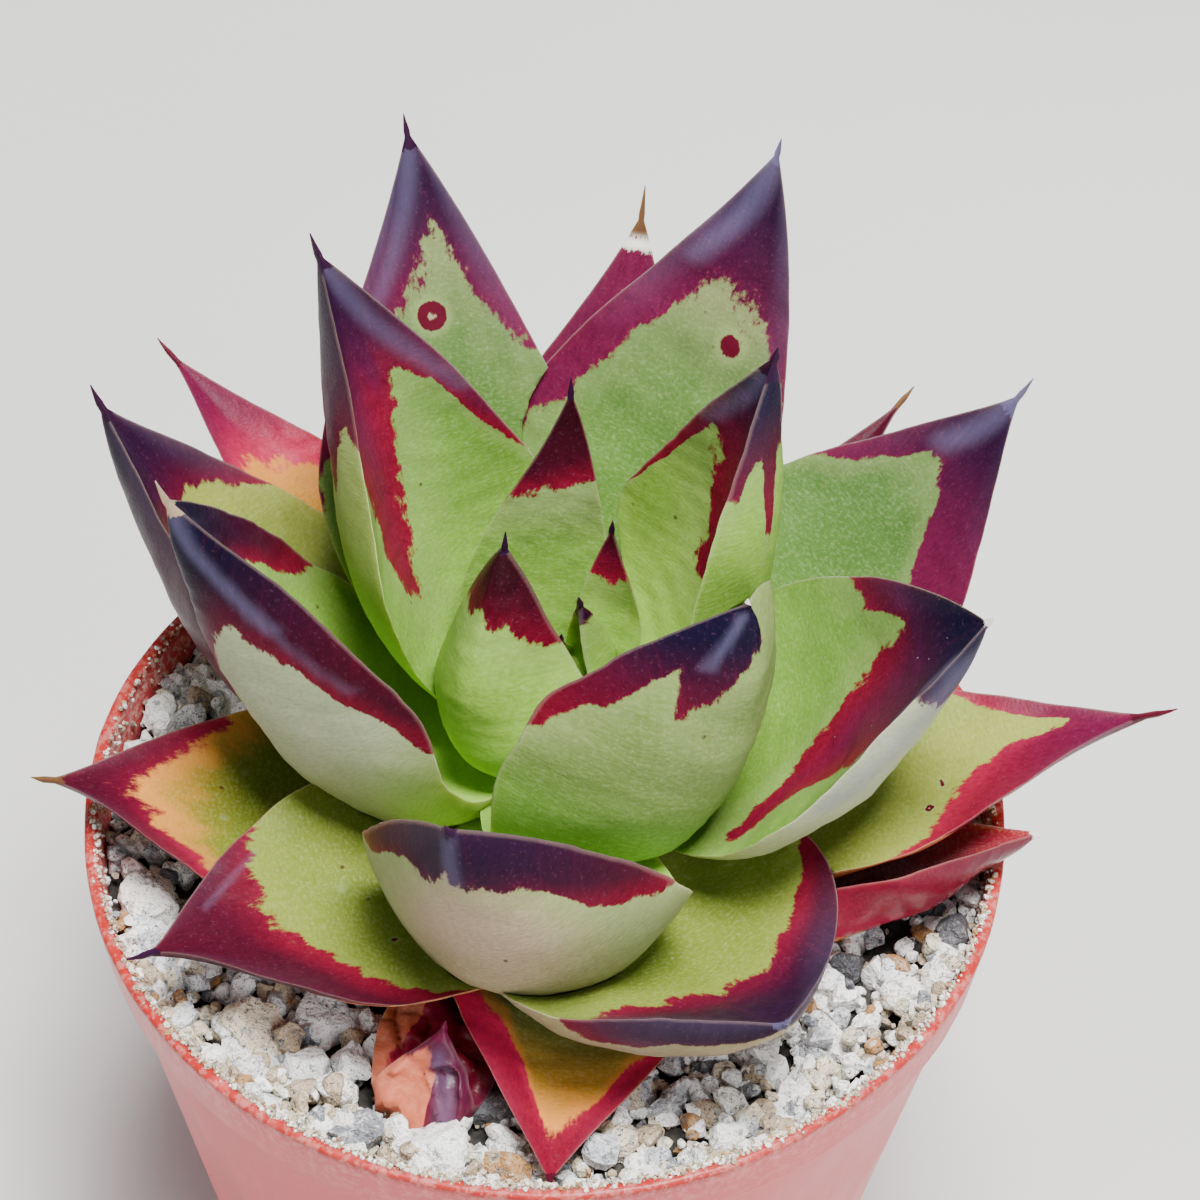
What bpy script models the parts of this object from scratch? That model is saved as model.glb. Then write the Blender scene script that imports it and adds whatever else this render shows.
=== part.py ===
"""Potted succulent: a rosette of thick pointed leaves in a plastic nursery pot filled with soil
and topped with gravel. The pot stands on z = 0 around the Z axis, and the photograph looks
towards +Y. The row is in metres; lengths written in millimetres are multiplied by MM.
"""
import math

import bmesh
import bpy
import numpy as np

MM = 0.001
SEED = 7
WELD = 0.01 * MM
SCRAP_WELD = 0.002 * MM

# Clearance between pieces that touch in the real plant.
FIT_GAP = 0.3 * MM

# Pot
POT_HEIGHT = 76.0 * MM
RIM_RADIUS = 45.0 * MM
RIM_INNER_RADIUS = 43.7 * MM
RIM_ROUNDING = 0.4 * MM
BAND_HEIGHT = 7.0 * MM
BAND_FOOT_RADIUS = 44.3 * MM
WALL_TOP_RADIUS = 43.4 * MM
WALL_FOOT_RADIUS = 32.5 * MM
FOOT_BEVEL = 0.8 * MM
BAND_INNER_RADIUS = 43.0 * MM
WALL_INNER_TOP_RADIUS = 42.2 * MM
FLOOR_RADIUS = 31.2 * MM
FLOOR_THICKNESS = 1.5 * MM
POT_STEPS = 48
BAND_STEP = 0.3 * MM
BAND_INNER_FOOT = POT_HEIGHT - BAND_HEIGHT + 0.6 * MM
WALL_INNER_TOP = POT_HEIGHT - BAND_HEIGHT - 1.0 * MM
DRAIN_COUNT = 5
DRAIN_RADIUS = 4.0 * MM
DRAIN_CIRCLE_RADIUS = 19.0 * MM
DRAIN_SIDES = 16

# Soil and gravel
SOIL_DEPTH = 13.5 * MM
GRAVEL_INNER_DEPTH = 8.6 * MM
GRAVEL_MIDDLE_DEPTH = 6.6 * MM
GRAVEL_WALL_DEPTH = 4.4 * MM
GRAVEL_MIDDLE_RADIUS = 30.0 * MM
FILL_STEPS = 32
GRAVEL_BOTTOM = POT_HEIGHT - SOIL_DEPTH + FIT_GAP
STONE_COUNT = 112
STONE_RADII = (2.1 * MM, 4.1 * MM)
STONE_WALL_GAP = 0.5 * MM
STONE_STEM_GAP = 5.0 * MM
STONE_ROUGHNESS = 0.16
STONE_FLATNESS = 0.78
STONE_SINK = 0.05
STONE_SPACING = 0.72
STONE_TRIES = 60

# Stem
PLANT_X = 2.0 * MM
PLANT_Y = 2.5 * MM
PLANT_BASE_HEIGHT = POT_HEIGHT + 5.0 * MM
STEM_RADIUS = 5.7 * MM
STEM_HOLE_RADIUS = 6.2 * MM
STEM_FOOT_DEPTH = 24.0 * MM
STEM_FOOT_RADIUS = 3.6 * MM
STEM_SHOULDER_HEIGHT = 4.5 * MM
STEM_NECK_HEIGHT = 8.5 * MM
STEM_NECK_RADIUS = 3.3 * MM
STEM_TOP_HEIGHT = 12.5 * MM
STEM_TOP_RADIUS = 2.0 * MM
STEM_STEPS = 20
BUD_COUNT = 4
BUD_FIRST_TURN = 200.0
BUD_TURN = 137.5
BUD_REACH = 0.5
BUD_TIP_HEIGHT = 22.0
BUD_TIP_STEP = 2.2
BUD_ROOT_HEIGHT = 9.0
BUD_ROOT_RISE = 70.0
BUD_TIP_RISE = 88.0
BUD_WIDTH = 5.6
BUD_WIDTH_STEP = 0.3
BUD_SHAPE = {"root_radius": 0.4, "root_width": 0.8, "cup": 0.6, "thick": 2.6, "widest": 0.3,
             "taper": 1.3}
BUD_ROWS = 5
BUD_POINTS = 4

# Leaves
LEAF_ROWS = 10
LEAF_POINTS = 6
ROW_CROWDING = 1.25
LEAF_DEFAULTS = {
    "root_radius": 6.0, "root_turn": None, "tip_turn": None, "face": None, "roll": 0.0,
    "thick": 6.0, "cup": 3.0, "keel": 1.0, "root_width": 0.4, "widest": 0.42,
    "taper": 1.5, "point": 1.0, "root_pull": 0.38, "tip_pull": 0.38,
}
LEAF_TIP_HALF_WIDTH = 0.4 * MM
LEAF_TIP_THICKNESS = 0.8 * MM
ROUND_SECTION = 2.4
CUP_SECTION = 1.7
EDGE_SECTION = 0.8
CUP_FULL_AT = 0.5
KEEL_FROM = 0.35
KEEL_RUN = 0.5
ROOT_THICKNESS_SHARE = 0.6
THICKEST_AT = 0.35
THINNING_FROM = 0.2
THINNING_POWER = 2.4

# Each leaf: turn and reach of its tip from the stem's axis, height of its tip, turn and height
# of its root, rise of its midrib at the root and at the tip, width. Degrees and millimetres;
# heights are above the plant's base plane. Inner leaves come first.
LEAVES = (
    ("leaf_01", "green", 59, 6.5, 26, 30, 11, 75, 85, 7,
     {"thick": 3.0, "cup": 0.6, "face": 70, "widest": 0.3, "taper": 1.3, "root_radius": 3.0}),
    ("leaf_02", "green", -166, 6.5, 31, -130, 7, 20, 92, 20,
     {"thick": 5.0, "cup": 4.0, "face": -122, "root_width": 0.6, "root_radius": 4.5,
      "widest": 0.3, "taper": 1.25}),
    ("leaf_03", "green", 94, 13.5, 36, 125, 8, 60, 80, 15,
     {"thick": 5.0, "cup": 1.0, "face": 100, "widest": 0.3, "taper": 1.15, "root_radius": 4.0}),
    ("leaf_04", "green", -38, 19.5, 36, -70, 5, 0, 85, 31,
     {"cup": 8.0, "face": -47, "root_width": 0.7, "taper": 3.0}),
    ("leaf_05", "green", 34, 21, 43, 25, 5, 48, 72, 22,
     {"cup": 6.0, "face": 15, "taper": 1.3}),
    ("leaf_06", "green", 141, 31.5, 46, 148, 4, 33, 62, 25,
     {"cup": 7.0, "face": 152, "taper": 1.3, "thick": 6.5}),
    ("leaf_07", "green", -106, 35, 30, -95, 3, -14, 62, 31,
     {"cup": 5.0, "roll": 8, "face": -110, "tip_turn": -121, "root_pull": 0.62,
      "tip_pull": 0.42, "taper": 2.0, "widest": 0.45, "thick": 7.8, "keel": 0.1}),
    ("leaf_08", "green", -9, 38, 28, -20, 3, 2, 52, 30,
     {"cup": 5.5, "face": -12, "roll": 8, "taper": 2.0, "widest": 0.45, "thick": 6.8,
      "keel": 0.3}),
    ("leaf_09", "green", 179, 37, 33, -160, 2, -14, 66, 34,
     {"cup": 8.0, "face": 186, "roll": 24, "taper": 2.1, "point": 1.2}),
    ("leaf_10", "green", 66, 44, 43, 84, 2, 32, 60, 27.5, {"taper": 1.4}),
    ("leaf_11", "green", 113, 46, 42, 130, 2, 30, 60, 27, {"taper": 1.3}),
    ("leaf_12", "olive", -61, 42, 8, -78, 0, -6, 38, 35,
     {"cup": 4.0, "taper": 2.2, "widest": 0.5, "face": -72, "tip_turn": -55, "thick": 8.5,
      "keel": 0.0}),
    ("leaf_13", "green", 33, 51, 24, 24, 0, 18, 45, 31, {"taper": 1.8, "point": 1.2}),
    ("leaf_14", "olive", 156, 50.5, 25, 172, -1, -5, 62, 29,
     {"cup": 6.0, "face": 168, "roll": 10, "taper": 2.0, "point": 1.3}),
    ("leaf_15", "red", 84, 50, 26, 100, -1, 20, 42, 22, {"taper": 1.3}),
    ("leaf_16", "olive", 2, 56.5, 7, -23, -2, 8, 15, 23.5, {"taper": 1.6, "point": 1.45}),
    ("leaf_17", "olive", -144, 47, 2, -111, -0.5, -2, 12, 29,
     {"taper": 2.6, "point": 1.7, "face": -129}),
    ("leaf_18", "olive", 75, 46, -1, 72, -6, 4, 8, 20, {"thick": 5.0}),
    ("leaf_19", "red", 136, 59.5, 12, 134, -5, 8, 18, 21,
     {"taper": 1.3, "point": 1.2, "thick": 5.0}),
    ("leaf_20", "red", 51, 52.5, 10, 44, -4, 10, 15, 17,
     {"taper": 1.2, "point": 1.3, "thick": 5.0}),
    ("leaf_21", "red", -172, 50.5, 1.5, -151, -7, 0, 12, 30,
     {"taper": 2.0, "point": 1.5, "face": -156, "thick": 5.0}),
    ("leaf_22", "olive", 104, 46.5, 0, 106, -6, 4, 10, 20, {"thick": 5.0}),
    ("leaf_23", "red", -9, 46, -0.5, -40, -10, 0, 14, 22,
     {"face": 0, "roll": -36, "tip_turn": 15, "thick": 5.5, "root_width": 0.2,
      "widest": 0.68}),
    ("leaf_24", "red", -90, 45, -6.5, -88, -9.5, 2, -1, 26,
     {"cup": 4.0, "roll": -12, "point": 1.1, "thick": 3.6}),
    ("leaf_withered", "withered", -108, 33, -2, -116, -5, 6, 125, 12,
     {"cup": 0.0, "taper": 3.0, "widest": 0.5, "root_width": 0.7, "keel": 0.0,
      "root_pull": 0.65, "tip_pull": 0.6}),
)
LEAF_FIELDS = ("name", "finish", "tip_angle", "reach", "tip_height", "root_angle",
               "root_height", "root_rise", "tip_rise", "width", "shape")

# Faces that meet at more than this angle keep a sharp edge.
SHARP_ANGLE = 40.0
LEAF_SHARP_ANGLE = 50.0
STONE_SHARP_ANGLE = 30.0

# Base colours, linear, and roughness
FINISHES = {
    "pot_plastic": ((0.66, 0.15, 0.10), 0.42),
    "soil": ((0.045, 0.030, 0.020), 0.95),
    "gravel": ((0.50, 0.48, 0.45), 0.85),
    "stem": ((0.30, 0.42, 0.12), 0.50),
    "leaf_green": ((0.22, 0.38, 0.09), 0.42),
    "leaf_olive": ((0.25, 0.31, 0.08), 0.42),
    "leaf_red": ((0.42, 0.06, 0.07), 0.42),
    "leaf_withered": ((0.32, 0.12, 0.10), 0.70),
}


def clear_scene():
    """Empty the file of objects, meshes and collections."""
    for obj in list(bpy.data.objects):
        bpy.data.objects.remove(obj, do_unlink=True)
    for group in list(bpy.data.collections):
        bpy.data.collections.remove(group)


def make_collection(name, hidden=False):
    """Add a collection to the scene; cutters go into a hidden one."""
    group = bpy.data.collections.new(name)
    group.hide_render = hidden
    bpy.context.scene.collection.children.link(group)
    return group


def make_material(name):
    """Plain material of one of the finishes."""
    colour, roughness = FINISHES[name]
    material = bpy.data.materials.new(name)
    material.use_nodes = True
    shader = material.node_tree.nodes["Principled BSDF"]
    shader.inputs["Base Color"].default_value = (*colour, 1.0)
    shader.inputs["Roughness"].default_value = roughness
    shader.inputs["Metallic"].default_value = 0.0
    material.diffuse_color = (*colour, 1.0)
    return material


def add_mesh(name, points, faces, group):
    """Make an object from points and faces and put it into a collection."""
    mesh = bpy.data.meshes.new(name)
    mesh.from_pydata([tuple(p) for p in points], [], faces)
    mesh.update()
    obj = bpy.data.objects.new(name, mesh)
    group.objects.link(obj)
    return obj


def apply_modifiers(obj):
    """Replace the mesh by its shape with all modifiers applied."""
    shaped = bpy.data.meshes.new_from_object(obj.evaluated_get(
        bpy.context.evaluated_depsgraph_get()))
    obj.modifiers.clear()
    obj.data = shaped


def weld_and_face_out(obj):
    """Merge doubled points and turn every face outwards."""
    body = bmesh.new()
    body.from_mesh(obj.data)
    bmesh.ops.remove_doubles(body, verts=body.verts, dist=WELD)
    bmesh.ops.dissolve_degenerate(body, edges=body.edges, dist=WELD)
    bmesh.ops.recalc_face_normals(body, faces=body.faces)
    body.to_mesh(obj.data)
    body.free()


def split_into_triangles(obj):
    """Split every face, so that a copy of the body keeps the same flat facets."""
    body = bmesh.new()
    body.from_mesh(obj.data)
    bmesh.ops.triangulate(body, faces=body.faces)
    body.to_mesh(obj.data)
    body.free()


def turned(name, profile, steps, group):
    """Turn a profile of (radius, height) points around Z with a Screw modifier."""
    points = [(radius, 0.0, height) for radius, height in profile]
    obj = add_mesh(name, points, [], group)
    obj.data.edges.add(len(points) - 1)
    for index, edge in enumerate(obj.data.edges):
        edge.vertices = (index, index + 1)
    screw = obj.modifiers.new("turn", "SCREW")
    screw.steps = steps
    screw.render_steps = steps
    screw.use_merge_vertices = True
    screw.merge_threshold = WELD
    apply_modifiers(obj)
    weld_and_face_out(obj)
    return obj


def cylinder(name, radius, bottom, top, centre, sides, group):
    """Upright cylinder between two heights."""
    bpy.ops.mesh.primitive_cylinder_add(
        vertices=sides, radius=radius, depth=top - bottom,
        location=(centre[0], centre[1], (top + bottom) / 2.0))
    obj = bpy.context.object
    obj.name = name
    move_to(obj, group)
    return obj


def move_to(obj, group):
    """Put an object into one collection only."""
    for owner in list(obj.users_collection):
        owner.objects.unlink(obj)
    group.objects.link(obj)


def cut(obj, cutter, solver="EXACT"):
    """Take one body away from another."""
    modifier = obj.modifiers.new("cut", "BOOLEAN")
    modifier.operation = "DIFFERENCE"
    modifier.solver = solver
    modifier.object = cutter
    apply_modifiers(obj)


def fuse_group(obj, group):
    """Unite a body with every object of a collection, and remove those objects."""
    modifier = obj.modifiers.new("fuse", "BOOLEAN")
    modifier.operation = "UNION"
    modifier.operand_type = "COLLECTION"
    modifier.collection = group
    modifier.solver = "EXACT"
    apply_modifiers(obj)
    for part in list(group.objects):
        bpy.data.objects.remove(part, do_unlink=True)
    bpy.data.collections.remove(group)


def keep_largest_body(obj):
    """Drop loose scraps and fill closed hollows by keeping only the largest outer skin."""
    body = bmesh.new()
    body.from_mesh(obj.data)
    bmesh.ops.remove_doubles(body, verts=body.verts, dist=SCRAP_WELD)
    body.faces.ensure_lookup_table()
    left = set(body.faces)
    largest = set()
    while left:
        first = left.pop()
        island = {first}
        front = [first]
        while front:
            face = front.pop()
            for edge in face.edges:
                for other in edge.link_faces:
                    if other in left:
                        left.discard(other)
                        island.add(other)
                        front.append(other)
        if len(island) > len(largest):
            largest = island
    scraps = [face for face in body.faces if face not in largest]
    bmesh.ops.delete(body, geom=scraps, context="FACES")
    loose = [vert for vert in body.verts if not vert.link_faces]
    bmesh.ops.delete(body, geom=loose, context="VERTS")
    body.to_mesh(obj.data)
    body.free()


def shade(obj, material, sharp_angle=SHARP_ANGLE):
    """Give the material, and smooth shading that breaks at sharp edges."""
    obj.data.materials.clear()
    obj.data.materials.append(material)
    for face in obj.data.polygons:
        face.use_smooth = True
    obj.data.set_sharp_from_angle(angle=math.radians(sharp_angle))


def make_pot(group, cutters):
    """Tapered pot with a collar band, a rounded rim and drainage holes in its floor."""
    band_foot = POT_HEIGHT - BAND_HEIGHT
    profile = (
        (0.0, FLOOR_THICKNESS),
        (FLOOR_RADIUS, FLOOR_THICKNESS),
        (WALL_INNER_TOP_RADIUS, WALL_INNER_TOP),
        (BAND_INNER_RADIUS, BAND_INNER_FOOT),
        (RIM_INNER_RADIUS, POT_HEIGHT - RIM_ROUNDING),
        (RIM_INNER_RADIUS + RIM_ROUNDING, POT_HEIGHT),
        (RIM_RADIUS - RIM_ROUNDING, POT_HEIGHT),
        (RIM_RADIUS, POT_HEIGHT - RIM_ROUNDING),
        (BAND_FOOT_RADIUS, band_foot + BAND_STEP),
        (BAND_FOOT_RADIUS - BAND_STEP, band_foot),
        (WALL_TOP_RADIUS, band_foot - BAND_STEP),
        (WALL_FOOT_RADIUS, FOOT_BEVEL),
        (WALL_FOOT_RADIUS - FOOT_BEVEL, 0.0),
        (0.0, 0.0),
    )
    pot = turned("pot", profile, POT_STEPS, group)
    for index in range(DRAIN_COUNT):
        angle = 2.0 * math.pi * index / DRAIN_COUNT
        centre = (DRAIN_CIRCLE_RADIUS * math.cos(angle), DRAIN_CIRCLE_RADIUS * math.sin(angle))
        hole = cylinder("drain_cutter", DRAIN_RADIUS, -FLOOR_THICKNESS, 2.0 * FLOOR_THICKNESS,
                        centre, DRAIN_SIDES, cutters)
        cut(pot, hole)
    weld_and_face_out(pot)
    return pot


def inner_wall_radius(height):
    """Radius of the pot's inner wall at a height."""
    heights = (FLOOR_THICKNESS, WALL_INNER_TOP, BAND_INNER_FOOT, POT_HEIGHT)
    radii = (FLOOR_RADIUS, WALL_INNER_TOP_RADIUS, BAND_INNER_RADIUS, RIM_INNER_RADIUS)
    return float(np.interp(height, heights, radii))


def fill_radius(height):
    """Radius that fits inside the pot at a height, allowing for its flat sides."""
    return (inner_wall_radius(height) - FIT_GAP) * math.cos(math.pi / POT_STEPS)


def stem_hole(bottom, group):
    """Cutter for the plain hole that the stem stands in."""
    return cylinder("stem_hole_cutter", STEM_HOLE_RADIUS, bottom, PLANT_BASE_HEIGHT,
                    (PLANT_X, PLANT_Y), STEM_STEPS, group)


def make_soil(group, cutters):
    """Soil that fills the pot up to the gravel, with a blind hole for the stem."""
    bottom = FLOOR_THICKNESS + FIT_GAP
    top = POT_HEIGHT - SOIL_DEPTH
    profile = ((0.0, top), (fill_radius(top), top), (fill_radius(bottom), bottom), (0.0, bottom))
    soil = turned("soil", profile, FILL_STEPS, group)
    stem_foot = PLANT_BASE_HEIGHT - STEM_FOOT_DEPTH
    cut(soil, stem_hole(stem_foot - FIT_GAP, cutters))
    weld_and_face_out(soil)
    return soil


def gravel_height(radius):
    """Height of the gravel bed at a distance from the pot's axis: a shallow dish."""
    radii = (0.0, GRAVEL_MIDDLE_RADIUS, RIM_INNER_RADIUS)
    depths = (GRAVEL_INNER_DEPTH, GRAVEL_MIDDLE_DEPTH, GRAVEL_WALL_DEPTH)
    return POT_HEIGHT - float(np.interp(radius, radii, depths))


def make_stone(name, radius, centre, random, group):
    """Angular stone: an ico sphere, squashed, turned and roughened."""
    bpy.ops.mesh.primitive_ico_sphere_add(subdivisions=1, radius=1.0)
    stone = bpy.context.object
    stone.name = name
    move_to(stone, group)
    points = np.array([tuple(v.co) for v in stone.data.vertices])
    points = points * (1.0 + random.uniform(-STONE_ROUGHNESS, STONE_ROUGHNESS,
                                            (len(points), 1)))
    points = points * random.uniform(STONE_FLATNESS, 1.0, 3)
    turn = random.uniform(0.0, 2.0 * math.pi, 2)
    about_z = np.array([[math.cos(turn[0]), -math.sin(turn[0]), 0.0],
                        [math.sin(turn[0]), math.cos(turn[0]), 0.0], [0.0, 0.0, 1.0]])
    about_x = np.array([[1.0, 0.0, 0.0], [0.0, math.cos(turn[1]), -math.sin(turn[1])],
                        [0.0, math.sin(turn[1]), math.cos(turn[1])]])
    points = radius * points @ about_x.T @ about_z.T + np.array(centre)
    stone.data.vertices.foreach_set("co", points.ravel())
    stone.data.update()


def scatter_stones(random, group):
    """Place stones of random sizes over the bed, clear of the wall and of the stem."""
    radii = np.sort(random.uniform(*STONE_RADII, STONE_COUNT))[::-1]
    placed = []
    for index, radius in enumerate(radii):
        for _ in range(STONE_TRIES):
            furthest = RIM_INNER_RADIUS - STONE_WALL_GAP - radius * (1.0 + STONE_ROUGHNESS)
            distance = furthest * math.sqrt(random.uniform(0.0, 1.0))
            angle = random.uniform(0.0, 2.0 * math.pi)
            x, y = distance * math.cos(angle), distance * math.sin(angle)
            stem_space = math.hypot(x - PLANT_X, y - PLANT_Y) - radius - STEM_RADIUS
            crowded = any(math.hypot(x - a, y - b) < STONE_SPACING * (radius + c)
                          for a, b, c in placed)
            if stem_space > STONE_STEM_GAP and not crowded:
                placed.append((x, y, radius))
                height = max(gravel_height(distance) + radius * STONE_SINK,
                             GRAVEL_BOTTOM + radius * (1.0 + STONE_ROUGHNESS))
                make_stone("stone_{:03d}".format(index), radius, (x, y, height), random, group)
                break


def make_gravel(group, cutters, random):
    """Gravel layer: a dished bed with the stones of its surface fused in."""
    edge = gravel_height(RIM_INNER_RADIUS)
    profile = (
        (0.0, gravel_height(0.0)),
        (GRAVEL_MIDDLE_RADIUS, gravel_height(GRAVEL_MIDDLE_RADIUS)),
        (fill_radius(edge), edge),
        (fill_radius(BAND_INNER_FOOT), BAND_INNER_FOOT),
        (fill_radius(WALL_INNER_TOP), WALL_INNER_TOP),
        (fill_radius(GRAVEL_BOTTOM), GRAVEL_BOTTOM),
        (0.0, GRAVEL_BOTTOM),
    )
    gravel = turned("gravel", profile, FILL_STEPS, group)
    stones = make_collection("stones")
    scatter_stones(random, stones)
    fuse_group(gravel, stones)
    cut(gravel, stem_hole(GRAVEL_BOTTOM - FIT_GAP, cutters))
    keep_largest_body(gravel)
    return gravel


def unit(vectors):
    """Scale vectors to length one."""
    return vectors / np.linalg.norm(vectors, axis=-1, keepdims=True)


def heading(turn, rise):
    """Direction with a turn around Z and a rise above the horizontal, in degrees."""
    turn, rise = math.radians(turn), math.radians(rise)
    return np.array([math.cos(turn) * math.cos(rise), math.sin(turn) * math.cos(rise),
                     math.sin(rise)])


def read_leaf(row):
    """Name the fields of a leaf's row and fill in what it leaves out."""
    leaf = dict(zip(LEAF_FIELDS, row))
    leaf.update(LEAF_DEFAULTS)
    leaf.update(leaf["shape"])
    if leaf["root_turn"] is None:
        leaf["root_turn"] = leaf["root_angle"]
    if leaf["tip_turn"] is None:
        leaf["tip_turn"] = leaf["tip_angle"]
    if leaf["face"] is None:
        leaf["face"] = leaf["tip_angle"]
    return leaf


def midrib(leaf, along):
    """Points and directions of the midrib, a cubic curve from root to tip."""
    centre = np.array([PLANT_X, PLANT_Y, PLANT_BASE_HEIGHT])
    up = np.array([0.0, 0.0, 1.0])
    root = centre + heading(leaf["root_angle"], 0) * leaf["root_radius"] * MM
    root = root + up * leaf["root_height"] * MM
    tip = centre + heading(leaf["tip_angle"], 0) * leaf["reach"] * MM
    tip = tip + up * leaf["tip_height"] * MM
    chord = np.linalg.norm(tip - root)
    pull_out = root + heading(leaf["root_turn"], leaf["root_rise"]) * chord * leaf["root_pull"]
    pull_in = tip - heading(leaf["tip_turn"], leaf["tip_rise"]) * chord * leaf["tip_pull"]
    t = along[:, None]
    points = ((1 - t) ** 3 * root + 3 * (1 - t) ** 2 * t * pull_out
              + 3 * (1 - t) * t ** 2 * pull_in + t ** 3 * tip)
    slopes = ((1 - t) ** 2 * (pull_out - root) + 2 * (1 - t) * t * (pull_in - pull_out)
              + t ** 2 * (tip - pull_in))
    return points, unit(slopes)


def leaf_axes(leaf, slopes):
    """Side and upward directions of the sections along the midrib."""
    outward = heading(leaf["face"], 0)
    level_side = np.array([-outward[1], outward[0], 0.0])
    side = unit(level_side - (slopes @ level_side)[:, None] * slopes)
    normal = np.cross(slopes, side)
    roll = math.radians(leaf["roll"])
    return (side * math.cos(roll) + normal * math.sin(roll),
            normal * math.cos(roll) - side * math.sin(roll))


def leaf_outline(leaf, along):
    """Half width along the leaf: it widens from the root, then tapers to the point."""
    widest = leaf["widest"]
    rise = np.sin(np.clip(along / widest, 0.0, 1.0) * math.pi / 2.0)
    widening = leaf["root_width"] + (1.0 - leaf["root_width"]) * rise
    past = np.clip((along - widest) / (1.0 - widest), 0.0, 1.0)
    narrowing = (1.0 - past ** leaf["taper"]) ** leaf["point"]
    half = leaf["width"] * MM / 2.0 * np.where(along < widest, widening, narrowing)
    return np.maximum(half, LEAF_TIP_HALF_WIDTH)


def leaf_thickness(leaf, along):
    """Thickness at the midrib: fullest in the lower half, thin at the point."""
    rise = np.sin(np.clip(along / THICKEST_AT, 0.0, 1.0) * math.pi / 2.0)
    swelling = ROOT_THICKNESS_SHARE + (1.0 - ROOT_THICKNESS_SHARE) * rise
    past = np.clip((along - THINNING_FROM) / (1.0 - THINNING_FROM), 0.0, 1.0)
    thinning = (1.0 - past ** THINNING_POWER) ** EDGE_SECTION
    return np.maximum(leaf["thick"] * MM * swelling * thinning, LEAF_TIP_THICKNESS)


def leaf_sections(leaf, rows, points):
    """Rings of points of a leaf: a cupped upper face over a rounded, keeled lower face.

    Across the leaf, s runs from -1 to 1. The upper face is cup * |s|^1.7 high. The lower face
    lies under it by thickness * (1 - |s|^a)^0.8, where a falls from 2.4 at the root towards
    the point and so draws the lower face out into a keel.
    """
    along = np.linspace(0.0, 1.0, rows)
    along = 1.0 - (1.0 - along) ** ROW_CROWDING
    middle, slopes = midrib(leaf, along)
    side, normal = leaf_axes(leaf, slopes)
    half = leaf_outline(leaf, along)
    thickness = leaf_thickness(leaf, along)
    fullness = half / (leaf["width"] * MM / 2.0)
    cupping = np.sin(np.clip(along / CUP_FULL_AT, 0.0, 1.0) * math.pi / 2.0)
    cup = leaf["cup"] * MM * cupping * fullness
    roundness = ROUND_SECTION - leaf["keel"] * np.clip((along - KEEL_FROM) / KEEL_RUN, 0.0, 1.0)
    across = -np.cos(np.linspace(0.0, math.pi, points + 1))
    back = across[::-1][1:-1]
    ring = np.concatenate([across, back])
    below = np.concatenate([np.zeros(points + 1), np.ones(points - 1)])
    depth = (1.0 - np.abs(ring)[None, :] ** roundness[:, None]) ** EDGE_SECTION
    lift = cup[:, None] * np.abs(ring) ** CUP_SECTION - thickness[:, None] * depth * below
    return (middle[:, None, :] + (half[:, None] * ring)[:, :, None] * side[:, None, :]
            + lift[:, :, None] * normal[:, None, :])


def loft(name, rings, group):
    """Close a tube of rings with flat ends into one body."""
    rows, count = rings.shape[:2]
    faces = [tuple(reversed(range(count)))]
    for row in range(rows - 1):
        for index in range(count):
            here, there = row * count + index, row * count + (index + 1) % count
            faces.append((here, there, there + count, here + count))
    faces.append(tuple(range((rows - 1) * count, rows * count)))
    obj = add_mesh(name, rings.reshape(-1, 3), faces, group)
    weld_and_face_out(obj)
    split_into_triangles(obj)
    return obj


def grown_copy(obj, group):
    """Copy of a body grown by the fitting gap, to cut its neighbours clear of it."""
    copy = obj.copy()
    copy.data = obj.data.copy()
    copy.name = obj.name + "_cutter"
    group.objects.link(copy)
    normals = np.array([tuple(v.normal) for v in obj.data.vertices])
    points = np.array([tuple(v.co) for v in obj.data.vertices]) + normals * FIT_GAP
    copy.data.vertices.foreach_set("co", points.ravel())
    copy.data.update()
    return copy


def boxes_meet(first, second):
    """Whether the bounding boxes of two bodies meet."""
    first_points = np.array([tuple(v.co) for v in first.data.vertices])
    second_points = np.array([tuple(v.co) for v in second.data.vertices])
    return bool(np.all(first_points.min(0) < second_points.max(0))
                and np.all(second_points.min(0) < first_points.max(0)))


def make_stem(group):
    """Short stem with the folded leaves of the growing point fused on top."""
    profile = (
        (0.0, STEM_TOP_HEIGHT),
        (STEM_TOP_RADIUS, STEM_TOP_HEIGHT),
        (STEM_NECK_RADIUS, STEM_NECK_HEIGHT),
        (STEM_RADIUS, STEM_SHOULDER_HEIGHT),
        (STEM_RADIUS, -STEM_FOOT_DEPTH / 2.0),
        (STEM_FOOT_RADIUS, -STEM_FOOT_DEPTH),
        (0.0, -STEM_FOOT_DEPTH),
    )
    stem = turned("stem", profile, STEM_STEPS, group)
    points = np.array([tuple(v.co) for v in stem.data.vertices])
    points = points + np.array([PLANT_X, PLANT_Y, PLANT_BASE_HEIGHT])
    stem.data.vertices.foreach_set("co", points.ravel())
    stem.data.update()
    buds = make_collection("buds")
    for index in range(BUD_COUNT):
        turn = BUD_FIRST_TURN + BUD_TURN * index
        row = ("bud", "green", turn, BUD_REACH * (index + 1),
               BUD_TIP_HEIGHT - BUD_TIP_STEP * index, turn, BUD_ROOT_HEIGHT, BUD_ROOT_RISE,
               BUD_TIP_RISE, BUD_WIDTH - BUD_WIDTH_STEP * index, BUD_SHAPE)
        loft("bud_{:02d}".format(index), leaf_sections(read_leaf(row), BUD_ROWS, BUD_POINTS),
             buds)
    fuse_group(stem, buds)
    keep_largest_body(stem)
    return stem


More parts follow.
